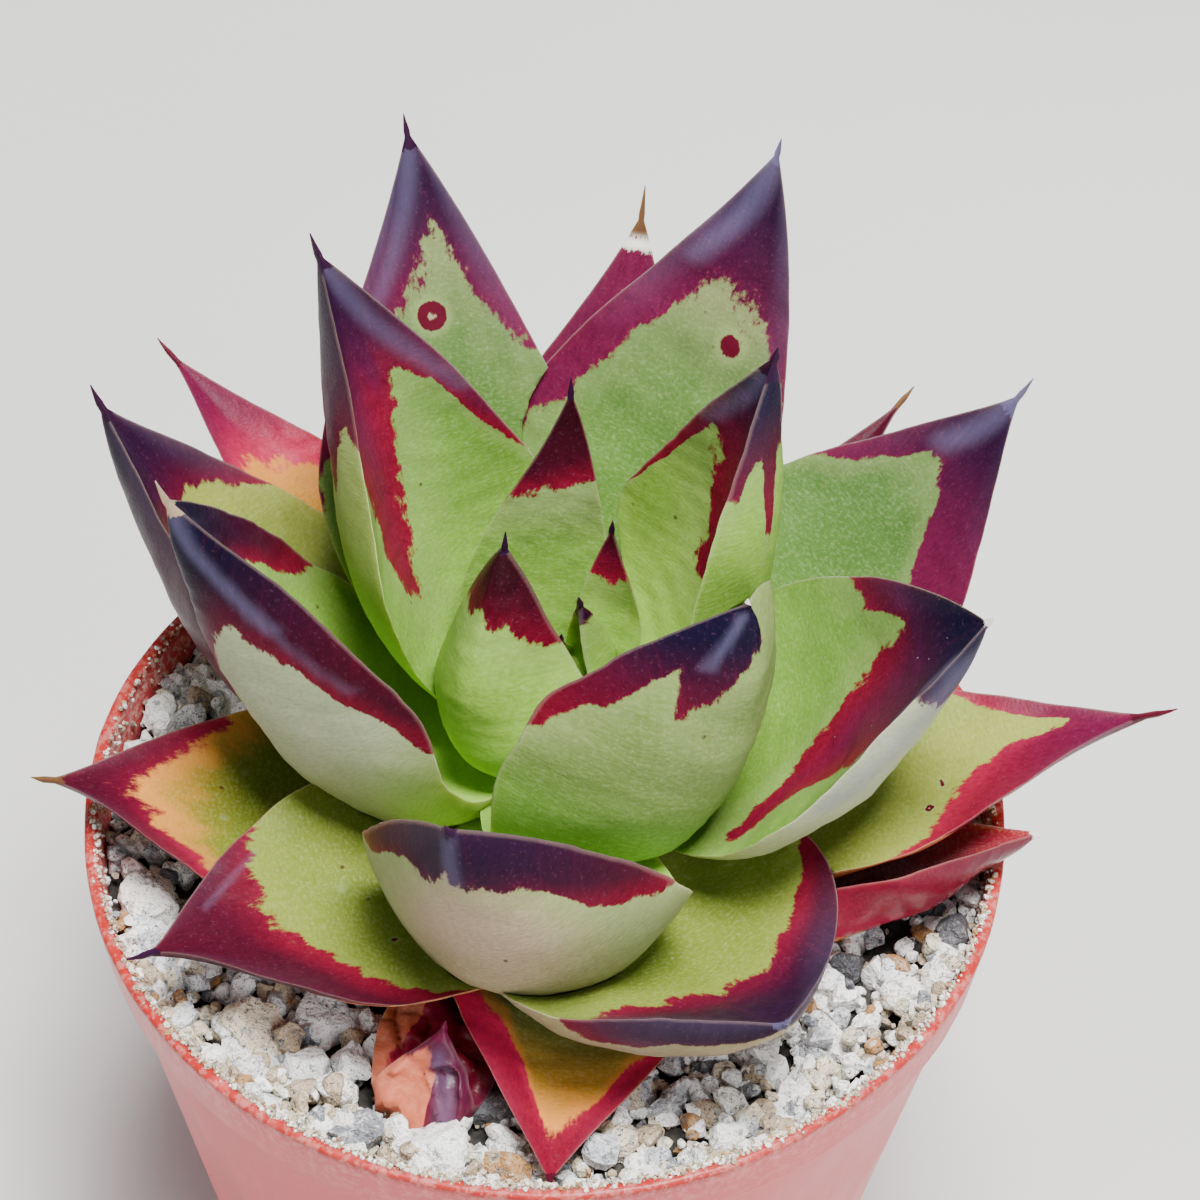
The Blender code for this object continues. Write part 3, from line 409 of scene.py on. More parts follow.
        "flush": ("rose", "crimson", "wine"), "reach": 4.0, "ragged": 2.2,
        "spots": (("upper", 0.06, 0.635, 0.35, False), ("upper", -0.45, 0.61, 0.3, False)),
        "tip": ("husk", 0.965, 1.2)},
    "leaf_22": {"flesh": ("olive", "olive")},
    "leaf_23": {
        "cap": ((-1, 1.3), (1, 1.3)),
        "under_cap": ((-1, 0.42), (-0.6, 0.5), (-0.3, 0.6), (0.2, 0.55), (1, 0.4)),
        "flesh": ("crimson", "rose"), "under_flesh": ("olive", "peach"),
        "flush": ("pink", "rose", "crimson"), "reach": 6.0, "tip": ("white", 0.985, 1.0)},
    "leaf_24": {
        "cap": ((-1, 0.5), (-0.7, 0.56), (-0.5, 0.6), (-0.4, 0.68), (-0.33, 0.75), (-0.28, 0.82),
                (-0.15, 0.855), (0.4, 0.855), (0.55, 0.82), (0.65, 0.74), (0.72, 0.68),
                (0.85, 0.6), (1, 0.5)),
        "flesh": ("moss", "amber"), "under_flesh": ("peach", "peach"), "turning": (0.45, 0.85),
        "flush": ("pink", "rose", "crimson"), "reach": 4.0, "ragged": 1.5,
        "tip": ("wine", 0.975, 1.2)},
    "leaf_withered": {
        "cap": ((-1, 0.75), (-0.5, 0.55), (0, 0.1), (0.3, -0.2), (1, -0.2)),
        "under_cap": ((-1, 0.9), (-0.6, 0.94), (-0.2, 0.92), (0.1, 0.86), (0.3, 0.62), (1, 0.45)),
        "flesh": ("husk", "peach"), "under_flesh": ("peach", "peach"),
        "flush": ("rose", "crimson", "mulberry"), "reach": 3.0, "crumple": 6.0,
        "wax_and_sheen_streaks": (("lower", 0.15, 0.93, 0.55, 0.8, 1.8, 0.6),), "tip": ("mulberry", 0.97, 0.5)},
}
# Spread of the markings: distances in mm, places and softness along (t) and across (|s|) the leaf
FLUSH_START = 0.3
FLUSH_RUN = 1.6
FLUSH_TIP = (0.62, 0.93)
LOWER_FLUSH_SHADE = 0.8
NO_SPOT = 4.0
# Where the wax and painted sheen lie along the margins near the tip
MARGIN_SHEEN_ACROSS = (0.5, 1.0)
MARGIN_SHEEN_ALONG = (0.55, 0.85)
TIP_SOFTNESS = 0.012
COLLAR_START = (-0.016, 0.010)
COLLAR_END = (-0.010, 0.012)
# Each leaf has its own place in the noises of the skin: one of many steps across and along
SKIN_PLACES = 97
SKIN_STEP = 3.7
# The stem is green flesh far from any marking, in the brightened glow green that is painted light
# in the shaded heart of the plant
STEM_VALUES = (("red", -6.0), ("spot", NO_SPOT), ("wax_and_sheen", 0.0), ("margin", 4.0))
STEM_COLOURS = (("flesh", "glow"), ("flush", "wine"))

# Skins: roughness, half width in mm of the red's soft edge, share and width in mm of the halo
# beside it, colour of the halo, index of refraction
LEAF_SKINS = {
    "green": (0.42, 0.28, 0.30, 6.0, "sage", 1.13),
    "olive": (0.42, 0.32, 0.25, 4.0, "straw", 1.13),
    "red": (0.40, 0.5, 0.55, 3.4, "apricot", 1.13),
    "glossy": (0.24, 0.5, 0.6, 3.4, "apricot", 1.14),
    "withered": (0.40, 0.6, 0.6, 3.4, "peach", 1.3),
}
# Red leaves that are wet and shine
GLOSSY_LEAVES = ("leaf_23",)

# Large stones of the gravel, placed as in the part's source
SEED = 7
STONE_COUNT = 112
STONE_RADII = (2.1 * MM, 4.1 * MM)
STONE_WALL_GAP = 0.5 * MM
STONE_STEM_GAP = 5.0 * MM
STONE_ROUGHNESS = 0.16
STONE_SINK = 0.05
STONE_SPACING = 0.72
STONE_TRIES = 60
STONE_SHAPE_DRAWS = 17
# From the front round to the right they lie lower and are smaller than elsewhere
SUNK_SECTOR = (-1.45, 0.7)
SUNK_SIZE = 0.82
SUNK_DEPTH = 0.5 * MM
RAISED_SIZE = 1.1
# Form of every stone, as shares of its radius
STONE_SUBDIVISIONS = 4
STONE_SIDES = 13
STONE_CUTS = (0.46, 0.74)
STONE_STRETCH = (0.78, 1.22)
STONE_GRAIN = 0.035
STONE_GRAIN_LENGTH = 1.3
STONE_GRAIN_ZOOM = 3.0
STONE_GRAIN_SHIFT = 50
STONE_SHARP_ANGLE = 24.0
ALL_KINDS = (0.0, 1.0)
PALE_KINDS = (0.66, 0.95)
CHALK = (0.95, 0.94, 0.93)
# Fine bed under the stones: rows and columns of its mesh, depth, and its lumps' size and length
BED_ROWS = 60
BED_STEPS = 180
BED_DEPTH = 0.7 * MM
BED_LUMP = 0.35 * MM
BED_LUMP_LENGTH = 2.4 * MM
BED_TOP_GAP = 0.15 * MM
BED_FOOT_GAP = 0.35 * MM
# Loose layers: piece, mesh, count, least and greatest radius, inner radius of the ring that they
# lie in, greatest lift as a share of the radius, subdivisions of the ball, flat sides, kinds and
# whether they lie only at the front
LOOSE_LAYERS = (
    ("gravel_small", "small", 2250, (0.8 * MM, 2.0 * MM), 14.0 * MM, 0.8, 2, 10, ALL_KINDS, False),
    ("gravel_grit", "grit", 2600, (0.25 * MM, 0.7 * MM), 0.0, 1.0, 1, 4, ALL_KINDS, False),
    ("wall_grit", "wall", 1200, (0.4 * MM, 1.1 * MM), RIM_INNER_RADIUS - 6.0 * MM, 2.2, 2, 6,
     PALE_KINDS, True),
)
SIZE_POWER = 1.6
LOOSE_SINK = 0.3
LOOSE_WALL_GAP = 0.25 * MM
LOOSE_STEM_GAP = 1.5 * MM
FRONT_FROM = -0.3
# Grains on the lip and on the wall below it, most of them at the front; offset and depth in mm
LIP_GRAINS = 3600
LIP_GRAIN_RADII = (0.08 * MM, 0.36 * MM)
LIP_FRONT_SHARE = 0.72
LIP_FRONT_TURN = (-1.45, 0.75)
LIP_TOP_SHARE = 0.45
LIP_TOP_OFFSET = (0.15, 0.22)
LIP_TOP_LIFT = 0.4
LIP_DEPTH = 4.0
LIP_DEPTH_POWER = 1.4
LIP_WALL_SINK = 0.3

# Picture: rise above the horizon and roll of the camera in degrees, the point that it looks at
# and its distance in mm, its lens and sensor in mm
CAMERA_RISE = 47.9
CAMERA_ROLL = 2.25
CAMERA_TARGET = (4.5, 27.2, 76.0)
CAMERA_DISTANCE = 361.0
CAMERA_LENS = 105.0
CAMERA_SENSOR = 36.0
CAMERA_CLIP = 0.01
FLOOR_HALF_SIZE = 3.0
# Lamps: name, place, side in metres, power in watts, colour
LIGHTS = (
    ("key", (0.10, -0.06, 0.88), 0.30, 21.0, (1.0, 0.99, 0.97)),
    ("fill", (0.62, -0.70, 0.50), 0.7, 9.0, (0.97, 0.98, 1.0)),
    ("side", (-0.75, -0.4, 0.50), 0.5, 2.4, (1.0, 0.98, 0.96)),
)
LIGHT_TARGET = (0.0, 0.0, 0.08)
SKY_COLOUR = (0.9, 0.93, 1.0, 1.0)
SKY_STRENGTH = 0.22


def unit(vectors):
    """Scale vectors to length one."""
    return vectors / np.linalg.norm(vectors, axis=-1, keepdims=True)


def heading(turn, rise):
    """Direction with a turn around Z and a rise above the horizontal, in degrees."""
    turn, rise = math.radians(turn), math.radians(rise)
    return np.array([math.cos(turn) * math.cos(rise), math.sin(turn) * math.cos(rise),
                     math.sin(rise)])


def ripples(points, wavelength, seed, waves=22):
    """Smooth noise of unit size: the sum of sine waves that run in seeded directions."""
    random = np.random.default_rng(seed)
    directions = unit(random.normal(size=(waves, 3)))
    numbers = 2.0 * math.pi / (wavelength * random.uniform(0.7, 1.5, waves))
    phases = random.uniform(0.0, 2.0 * math.pi, waves)
    return np.sin(points @ (directions * numbers[:, None]).T + phases).sum(-1) / math.sqrt(waves)


def linear(name):
    """Scene-linear colour of one of the named colours."""
    value = np.array(COLOURS[name]) / 255.0
    return np.where(value <= 0.04045, value / 12.92, ((value + 0.055) / 1.055) ** 2.4)


def make_mesh(name, points, *face_sets):
    """Mesh from arrays of points and of faces; each set holds faces with equal corner counts."""
    mesh = bpy.data.meshes.new(name)
    corners = np.concatenate([faces.ravel() for faces in face_sets]).astype(np.int32)
    sizes = np.concatenate([np.full(len(faces), faces.shape[1]) for faces in face_sets])
    starts = np.concatenate([[0], np.cumsum(sizes)[:-1]]).astype(np.int32)
    mesh.vertices.add(len(points))
    mesh.vertices.foreach_set("co", np.asarray(points, np.float32).ravel())
    mesh.loops.add(len(corners))
    mesh.loops.foreach_set("vertex_index", corners)
    mesh.polygons.add(len(sizes))
    mesh.polygons.foreach_set("loop_start", starts)
    mesh.polygons.foreach_set("use_smooth", np.ones(len(sizes), bool))
    mesh.update(calc_edges=True)
    mesh.validate()
    return mesh


def add_piece(name, mesh, material, slot, *replaced):
    """Put a mesh into the scene as a piece that rides on the plant's only body."""
    obj = bpy.data.objects.new(name, mesh)
    bpy.context.scene.collection.objects.link(obj)
    mesh.materials.clear()
    mesh.materials.append(material)
    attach(obj, "root")
    if replaced:
        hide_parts(*replaced)


def set_corner_values(mesh, name, kind, values):
    """Store one value or colour for each face corner."""
    layer = mesh.attributes.new(name, kind, "CORNER")
    field = "value" if kind == "FLOAT" else "color"
    layer.data.foreach_set(field, np.asarray(values, np.float32).ravel())


def points_of(mesh):
    """Vertex places of a mesh as an array."""
    points = np.empty(len(mesh.vertices) * 3, np.float32)
    mesh.vertices.foreach_get("co", points)
    return points.reshape(-1, 3).astype(float)


def move_points(mesh, points):
    """Set the vertex places of a mesh."""
    mesh.vertices.foreach_set("co", np.asarray(points, np.float32).ravel())
    mesh.update()


def grown_mesh(mesh, distance):
    """Copy of a mesh with every point moved out along its normal. The distance may be an array
    with a row for each point."""
    grown = mesh.copy()
    normals = np.empty(len(mesh.vertices) * 3, np.float32)
    mesh.vertex_normals.foreach_get("vector", normals)
    move_points(grown, points_of(mesh) + normals.reshape(-1, 3) * distance)
    return grown


def combined_mesh(mesh, others, operation):
    """The mesh with other meshes taken away from it (DIFFERENCE) or united with it (UNION)."""
    objects = []
    for data in [mesh] + others:
        obj = bpy.data.objects.new("solid", data)
        bpy.context.scene.collection.objects.link(obj)
        objects.append(obj)
    for other in objects[1:]:
        modifier = objects[0].modifiers.new("combine", "BOOLEAN")
        modifier.operation = operation
        modifier.solver = "MANIFOLD"
        modifier.object = other
    evaluated = objects[0].evaluated_get(bpy.context.evaluated_depsgraph_get())
    result = bpy.data.meshes.new_from_object(evaluated)
    for obj in objects:
        bpy.data.objects.remove(obj)
    return result


def tube_faces(rows, count):
    """Quads of a closed tube of rings, and the triangles that join its first and last ring to
    one end point each. The end points follow after all the rings."""
    column = np.arange(count)
    following = (column + 1) % count
    row = np.arange(rows - 1)[:, None] * count
    quads = np.stack([row + column, row + column + count, row + following + count,
                      row + following], -1).reshape(-1, 4)
    last = (rows - 1) * count
    end = rows * count
    ends = np.concatenate([
        np.stack([column, following, np.full(count, end)], -1),
        np.stack([last + following, last + column, np.full(count, end + 1)], -1)])
    return quads, ends


def body_labels(mesh):
    """Number the connected bodies: each vertex takes the lowest label that its edges reach."""
    edges = np.empty(len(mesh.edges) * 2, np.int32)
    mesh.edges.foreach_get("vertices", edges)
    ends = edges.reshape(-1, 2)
    labels = np.arange(len(mesh.vertices))
    while True:
        lowest = np.minimum(labels[ends[:, 0]], labels[ends[:, 1]])
        before = labels.copy()
        np.minimum.at(labels, ends[:, 0], lowest)
        np.minimum.at(labels, ends[:, 1], lowest)
        labels = labels[labels]
        if np.array_equal(before, labels):
            return labels


def keep_largest_body(mesh):
    """Drop the loose scraps that a cut leaves."""
    labels = body_labels(mesh)
    names, counts = np.unique(labels, return_counts=True)
    if len(names) == 1:
        return
    scraps = np.nonzero(labels != names[np.argmax(counts)])[0]
    body = bmesh.new()
    body.from_mesh(mesh)
    body.verts.ensure_lookup_table()
    bmesh.ops.delete(body, geom=[body.verts[i] for i in scraps], context="VERTS")
    body.to_mesh(mesh)
    body.free()


def boxes_meet(first, second):
    """Whether the bounding boxes of two point arrays meet."""
    return bool(np.all(first.min(0) < second.max(0)) and np.all(second.min(0) < first.max(0)))


def read_leaf(row, marks):
    """Name the fields of a leaf's row and fill in what its row and its markings leave out."""
    leaf = dict(zip(LEAF_FIELDS, row))
    leaf.update(LEAF_DEFAULTS)
    leaf.update(leaf["shape"])
    for angle, fallback in (("root_turn", "root_angle"), ("tip_turn", "tip_angle"),
                            ("face", "tip_angle")):
        if leaf[angle] is None:
            leaf[angle] = leaf[fallback]
    leaf["marks"] = dict(MARK_DEFAULTS, **marks)
    return leaf


def midrib(leaf, along):
    """Points and directions of the midrib, a cubic curve from root to tip, and its length."""
    centre = np.array([PLANT_X, PLANT_Y, PLANT_BASE_HEIGHT])
    up = np.array([0.0, 0.0, 1.0])
    root = centre + heading(leaf["root_angle"], 0) * leaf["root_radius"] * MM
    root = root + up * leaf["root_height"] * MM
    tip = centre + heading(leaf["tip_angle"], 0) * leaf["reach"] * MM
    tip = tip + up * leaf["tip_height"] * MM
    chord = np.linalg.norm(tip - root)
    pull_out = root + heading(leaf["root_turn"], leaf["root_rise"]) * chord * leaf["root_pull"]
    pull_in = tip - heading(leaf["tip_turn"], leaf["tip_rise"]) * chord * leaf["tip_pull"]
    t = along[:, None]
    points = ((1 - t) ** 3 * root + 3 * (1 - t) ** 2 * t * pull_out
              + 3 * (1 - t) * t ** 2 * pull_in + t ** 3 * tip)
    slopes = ((1 - t) ** 2 * (pull_out - root) + 2 * (1 - t) * t * (pull_in - pull_out)
              + t ** 2 * (tip - pull_in))
    length = np.linalg.norm(np.diff(points, axis=0), axis=1).sum()
    return points, unit(slopes), length


def leaf_axes(leaf, slopes):
    """Side and upward directions of the sections along the midrib."""
    outward = heading(leaf["face"], 0)
    level_side = np.array([-outward[1], outward[0], 0.0])
    side = unit(level_side - (slopes @ level_side)[:, None] * slopes)
    normal = np.cross(slopes, side)
    roll = math.radians(leaf["roll"])
    return (side * math.cos(roll) + normal * math.sin(roll),
            normal * math.cos(roll) - side * math.sin(roll))


def sine_rise(along, end):
    """Rise from 0 at the root to 1 at a place along the leaf, as a quarter of a sine wave."""
    return np.sin(np.clip(along / end, 0.0, 1.0) * math.pi / 2.0)


def leaf_outline(leaf, along):
    """Half width along the leaf: it widens from the root, then tapers to the point."""
    widest = leaf["widest"]
    widening = leaf["root_width"] + (1.0 - leaf["root_width"]) * sine_rise(along, widest)
    past = np.clip((along - widest) / (1.0 - widest), 0.0, 1.0)
    narrowing = (1.0 - past ** leaf["taper"]) ** leaf["point"]
    half = leaf["width"] * MM / 2.0 * np.where(along < widest, widening, narrowing)
    return np.maximum(half, TIP_HALF_WIDTH)


def leaf_thickness(leaf, along):
    """Thickness at the midrib: fullest in the lower half, thin at the point."""
    rise = sine_rise(along, THICKEST_AT)
    swelling = ROOT_THICKNESS_SHARE + (1.0 - ROOT_THICKNESS_SHARE) * rise
    past = np.clip((along - THINNING_FROM) / (1.0 - THINNING_FROM), 0.0, 1.0)
    thinning = (1.0 - past ** THINNING_POWER) ** EDGE_SECTION
    return np.maximum(leaf["thick"] * MM * swelling * thinning, TIP_THICKNESS)


def leaf_surface(leaf, rows):
    """Grid of points of a leaf, with its spine, and the face coordinates of each point.

    Across the leaf, s runs from -1 to 1. The upper face is cup * |s|^1.7 high. The lower face
    lies under it by thickness * (1 - |s|^a)^0.8, where a falls from 2.4 at the root towards
    the point and so draws the lower face out into a keel. Past the point, the last section
    shrinks along the midrib's direction into a spine. Slow and fine ripples move each point
    along the section's normal, and a dried leaf gets creases of depth exp(-6 |noise|).
    """
    along = 1.0 - (1.0 - np.linspace(0.0, 1.0, rows)) ** ROW_CROWDING
    middle, slopes, length = midrib(leaf, along)
    side, normal = leaf_axes(leaf, slopes)
    half = leaf_outline(leaf, along)
    thickness = leaf_thickness(leaf, along)
    fullness = half / (leaf["width"] * MM / 2.0)
    cup = leaf["cup"] * MM * sine_rise(along, CUP_FULL_AT) * fullness
    roundness = ROUND_SECTION - leaf["keel"] * np.clip((along - KEEL_FROM) / KEEL_RUN, 0.0, 1.0)
    ring = np.concatenate([ACROSS, ACROSS[::-1][1:-1]])
    below = np.arange(len(ring)) > LEAF_POINTS
    depth = (1.0 - np.abs(ring)[None, :] ** roundness[:, None]) ** EDGE_SECTION
    lift = cup[:, None] * np.abs(ring) ** CUP_SECTION - thickness[:, None] * depth * below
    grid = (middle[:, None, :] + (half[:, None] * ring)[:, :, None] * side[:, None, :]
            + lift[:, :, None] * normal[:, None, :])
    seed = int(leaf["name"][-2:]) if leaf["name"][-2:].isdigit() else SEED
    crumple = leaf["marks"]["crumple"]
    lump = (SWELL * ripples(grid, SWELL_LENGTH, seed)
            + RIPPLE * ripples(grid, RIPPLE_LENGTH, seed + RIPPLE_SEED)) * crumple
    lump = lump - CREASE * (crumple - 1.0) * np.exp(
        -CREASE_SHARPNESS * np.abs(ripples(grid, CREASE_LENGTH, seed + CREASE_SEED)))
    calm = np.clip(fullness * CALM_WIDTH, 0.0, 1.0)[:, None]
    grid = grid + (lump * calm)[:, :, None] * normal[:, None, :]
    spine = leaf["marks"]["tip"][2] * MM
    shares = np.linspace(0.0, 1.0, TIP_ROWS + 1)[1:]
    sizes = 1.0 - (1.0 - SPINE_END_SHARE) * shares
    bend = np.array([0.0, 0.0, SPINE_BEND]) * spine * shares[:, None] ** 2
    centre = middle[-1] + slopes[-1] * spine * shares[:, None] + bend
    ends = centre[:, None, :] + (grid[-1] - middle[-1])[None] * sizes[:, None, None]
    grid = np.concatenate([grid, ends])
    along = np.concatenate([along, 1.0 + shares * spine / length])
    half = np.concatenate([half, half[-1] * sizes])
    return grid, along, ring, half, length


def red_field(cap, bands, s, t, half, length):
    """Signed distance in mm, positive in the red.

    It is the greatest of the height above the cap line and, for each band, the distance
    inside its two sides and above its foot.
    """
    places, heights = np.array(cap).T
    field = (t - np.interp(s, places, heights)) * length
    for band in bands:
        at, low, high = np.array(band).T
        inside = np.minimum(s - np.interp(t, at, low), np.interp(t, at, high) - s) * half
        field = np.maximum(field, np.minimum(inside, (t - at[0]) * length))
    return field / MM


def blend(first, second, share):
    """Mix two colours by an array of shares."""
    share = np.clip(share, 0.0, 1.0)[..., None]
    return linear(first) * (1.0 - share) + linear(second) * share


def smooth(value, low, high):
    """Smooth step from 0 to 1 between two values."""
    x = np.clip((value - low) / (high - low), 0.0, 1.0)
    return x * x * (3.0 - 2.0 * x)


def streak_distance(streak, s, t, half, length):
    """Distance in mm from a straight streak on the face, which runs between two places."""
    _, first_s, first_t, last_s, last_t, _, _ = streak
    run = np.stack([(last_s - first_s) * half, np.full(half.shape, (last_t - first_t) * length)])
    away = np.stack([(s - first_s) * half, (t - first_t) * length])
    share = np.clip((run * away).sum(0) / np.maximum((run * run).sum(0), 1e-12), 0.0, 1.0)
    return np.linalg.norm(away - run * share, axis=0) / MM


def paint_face(leaf, face, s, t, half, length):
    """Values of one face of a leaf at its grid points, for its material."""
    marks = leaf["marks"]
    under = "under_" if face == "lower" else ""
    field = red_field(marks[under + "cap"], marks[under + "bands"], s, t, half, length)
    flesh = blend(*marks[under + "flesh"], smooth(t, *marks["turning"]))
    for key, place in (("fade", t), ("sides", np.abs(s))):
        if marks[key] and (key == "fade" or under):
            colour, low, high, share = marks[key]
            share = smooth(place, low, high)[:, None] * share
            flesh = flesh * (1.0 - share) + linear(colour) * share
    near, deep, far = (linear(name) for name in marks["flush"])
    depth = smooth(field, FLUSH_START, marks["reach"] * FLUSH_RUN)[:, None]
    height = smooth(t, *FLUSH_TIP)[:, None]
    flush = (near * (1.0 - depth) + deep * depth) * (1.0 - height) + far * height
    if under:
        flush = flush * LOWER_FLUSH_SHADE
    spot = np.full(field.shape, NO_SPOT)
    for where, place, level, radius, hollow in marks["spots"]:
        if where == face:
            away = np.hypot((s - place) * half, (t - level) * length) / MM / radius
            spot = np.minimum(spot, away if hollow else 0.5 + 0.5 * away)
    # Wax with a painted sheen along the margins near the tip: partly painted highlight
    wax_and_sheen = marks["margin_wax_sheen"] * smooth(np.abs(s), *MARGIN_SHEEN_ACROSS) * smooth(t, *MARGIN_SHEEN_ALONG)
    # Streaks of wax with a painted sheen: painted highlights along keels and near tips
    for streak in marks["wax_and_sheen_streaks"]:
        if streak[0] == face:
            away = streak_distance(streak, s, t, half, length)
            wax_and_sheen = np.maximum(wax_and_sheen, streak[6] * (1.0 - smooth(away, 0.0, streak[5])))
    colour, start, _ = marks["tip"]
    cover = smooth(t, start - TIP_SOFTNESS, start + TIP_SOFTNESS)
    paint = np.broadcast_to(linear(colour), field.shape + (3,))
    if marks["collar"]:
        colour, start, end = marks["collar"]
        ring = smooth(t, start + COLLAR_START[0], start + COLLAR_START[1])
        ring = ring * (1.0 - smooth(t, end + COLLAR_END[0], end + COLLAR_END[1]))
        paint = paint + (linear(colour) - paint) * ring[:, None]
        cover = np.maximum(cover, ring)
    return {"red": field / marks["ragged"], "flesh": flesh, "flush": flush, "spot": spot,
            "wax_and_sheen": wax_and_sheen, "margin": (1.0 - np.abs(s)) * half / MM,
            "paint": np.concatenate([paint, cover[:, None]], -1)}


def set_skin_places(mesh, places):
    """Store the coordinates of the skin's noises, in mm, for each face corner."""
    layer = mesh.uv_layers.new(name="leaf_mm")
    layer.data.foreach_set("uv", places.astype(np.float32).ravel())


def leaf_mesh(leaf, rows=LEAF_ROWS):
    """Closed mesh of a leaf whose face corners carry the values of its markings."""
    grid, along, ring, half, length = leaf_surface(leaf, rows)
    count = len(ring)
    rows = len(along)
    quads, ends = tube_faces(rows, count)
    middles = np.array([grid[0].mean(0), grid[-1].mean(0)])
    mesh = make_mesh(leaf["name"], np.concatenate([grid.reshape(-1, 3), middles]), quads, ends)
    s = np.concatenate([np.tile(ring, rows), [0.0, 0.0]])
    t = np.concatenate([np.repeat(along, count), [0.0, along[-1]]])
    width = np.concatenate([np.repeat(half, count), [half[0], half[-1]]])
    corners = np.concatenate([quads.ravel(), ends.ravel()])
    column = np.arange(count)
    under = np.concatenate([np.repeat(np.tile(column >= LEAF_POINTS, rows - 1), 4),
                            np.zeros(ends.size, bool)])
    upper, lower = (paint_face(leaf, face, s, t, width, length) for face in ("upper", "lower"))
    for name in ("red", "spot", "wax_and_sheen", "margin"):
        set_corner_values(mesh, name, "FLOAT",
                          np.where(under, lower[name][corners], upper[name][corners]))
    white = np.ones((len(corners), 1))
    for name in ("flesh", "flush"):
        colours = np.where(under[:, None], lower[name][corners], upper[name][corners])
        set_corner_values(mesh, name, "FLOAT_COLOR", np.concatenate([colours, white], 1))
    set_corner_values(mesh, "paint", "FLOAT_COLOR", upper["paint"][corners])
    shift = sum(leaf["name"].encode()) % SKIN_PLACES
    places = np.stack([s * width / MM + shift, t * length / MM + SKIN_STEP * shift], -1)
    set_skin_places(mesh, places[corners])
    return mesh


def new_material(name):
    """Empty material with its node tree and its shader."""
    material = bpy.data.materials.new(name)
    material.use_nodes = True
    return material, material.node_tree, material.node_tree.nodes["Principled BSDF"]


def node(tree, kind, inputs, output=0, **settings):
    """Add a node; an input is set to a value or linked to a socket. Returns one output."""
    added = tree.nodes.new(kind)
    for key, value in settings.items():
        setattr(added, key, value)
    for key, value in inputs.items():
        if isinstance(value, bpy.types.NodeSocket):
            tree.links.new(value, added.inputs[key])
        else:
            added.inputs[key].default_value = value
    return added.outputs[output]


def attribute(tree, name, output="Fac"):
    """Value stored on the mesh."""
    return node(tree, "ShaderNodeAttribute", {}, output, attribute_name=name)


def noise(tree, vector, scale, detail=3.0, roughness=0.55):
    """Cloudy noise between 0 and 1."""
    return node(tree, "ShaderNodeTexNoise",
                {"Vector": vector, "Scale": scale, "Detail": detail, "Roughness": roughness})


def cells(tree, vector, scale):
    """Distance to the nearest of scattered points."""
    return node(tree, "ShaderNodeTexVoronoi", {"Vector": vector, "Scale": scale}, "Distance")


def math_node(tree, operation, first, second):
    """Arithmetic on two values."""
    return node(tree, "ShaderNodeMath", {0: first, 1: second}, operation=operation)


def product(tree, first, *others):
    """Product of values."""
    for other in others:
        first = math_node(tree, "MULTIPLY", first, other)
    return first


def swing(tree, value, size):
    """A noise between 0 and 1, turned into one that swings around 0 over a range."""
    return product(tree, math_node(tree, "SUBTRACT", value, 0.5), size)


def step(tree, value, low, high, start=0.0, end=1.0):
    """Smooth step of a value between two bounds."""
    return node(tree, "ShaderNodeMapRange",
                {"Value": value, "From Min": low, "From Max": high, "To Min": start,
                 "To Max": end}, interpolation_type="SMOOTHSTEP")


def mix(tree, share, first, second, mode="MIX"):
    """Mix two colours, each a socket or a linear colour."""
    first, second = (colour if isinstance(colour, bpy.types.NodeSocket) else (*colour, 1.0)
                     for colour in (first, second))
    return node(tree, "ShaderNodeMix", {0: share, 6: first, 7: second}, 2, data_type="RGBA",
                blend_type=mode)


def tinted(tree, colour, *tints):
    """Lay tints over a colour. Each is (value, where it starts, where it is full, its greatest
    share, its colour) and may end with a mode."""
    for value, low, high, share, tint, *mode in tints:
        colour = mix(tree, step(tree, value, low, high, 0.0, share), colour, tint, *mode)
    return colour


def scaled(tree, vector, scale):
    """Coordinates stretched by a factor along each axis."""
    return node(tree, "ShaderNodeMapping", {"Vector": vector, "Scale": scale})


def ramp(tree, value, stops, interpolation="LINEAR"):
    """Colour ramp from (place, linear colour) stops."""
    added = tree.nodes.new("ShaderNodeValToRGB")
    tree.links.new(value, added.inputs[0])
    added.color_ramp.interpolation = interpolation
    elements = added.color_ramp.elements
    while len(elements) < len(stops):
        elements.new(1.0)
    for element, (place, colour) in zip(elements, stops):
        element.position = place
        element.color = (*colour, 1.0)
    return added.outputs[0]


def bump(tree, height, strength, distance, before=None):
    """Surface relief from a height between 0 and 1 times a distance in metres."""
    inputs = {"Height": height, "Strength": strength, "Distance": distance}
    if before is not None:
        inputs["Normal"] = before
    return node(tree, "ShaderNodeBump", inputs)


def finish_shader(tree, shader, colour, rough, relief, constants):
    """Link colour, roughness and relief to a shader and set its constant inputs."""
    for name, socket in (("Base Color", colour), ("Roughness", rough), ("Normal", relief)):
        tree.links.new(socket, shader.inputs[name])
    for name, value in constants.items():
        shader.inputs[name].default_value = value


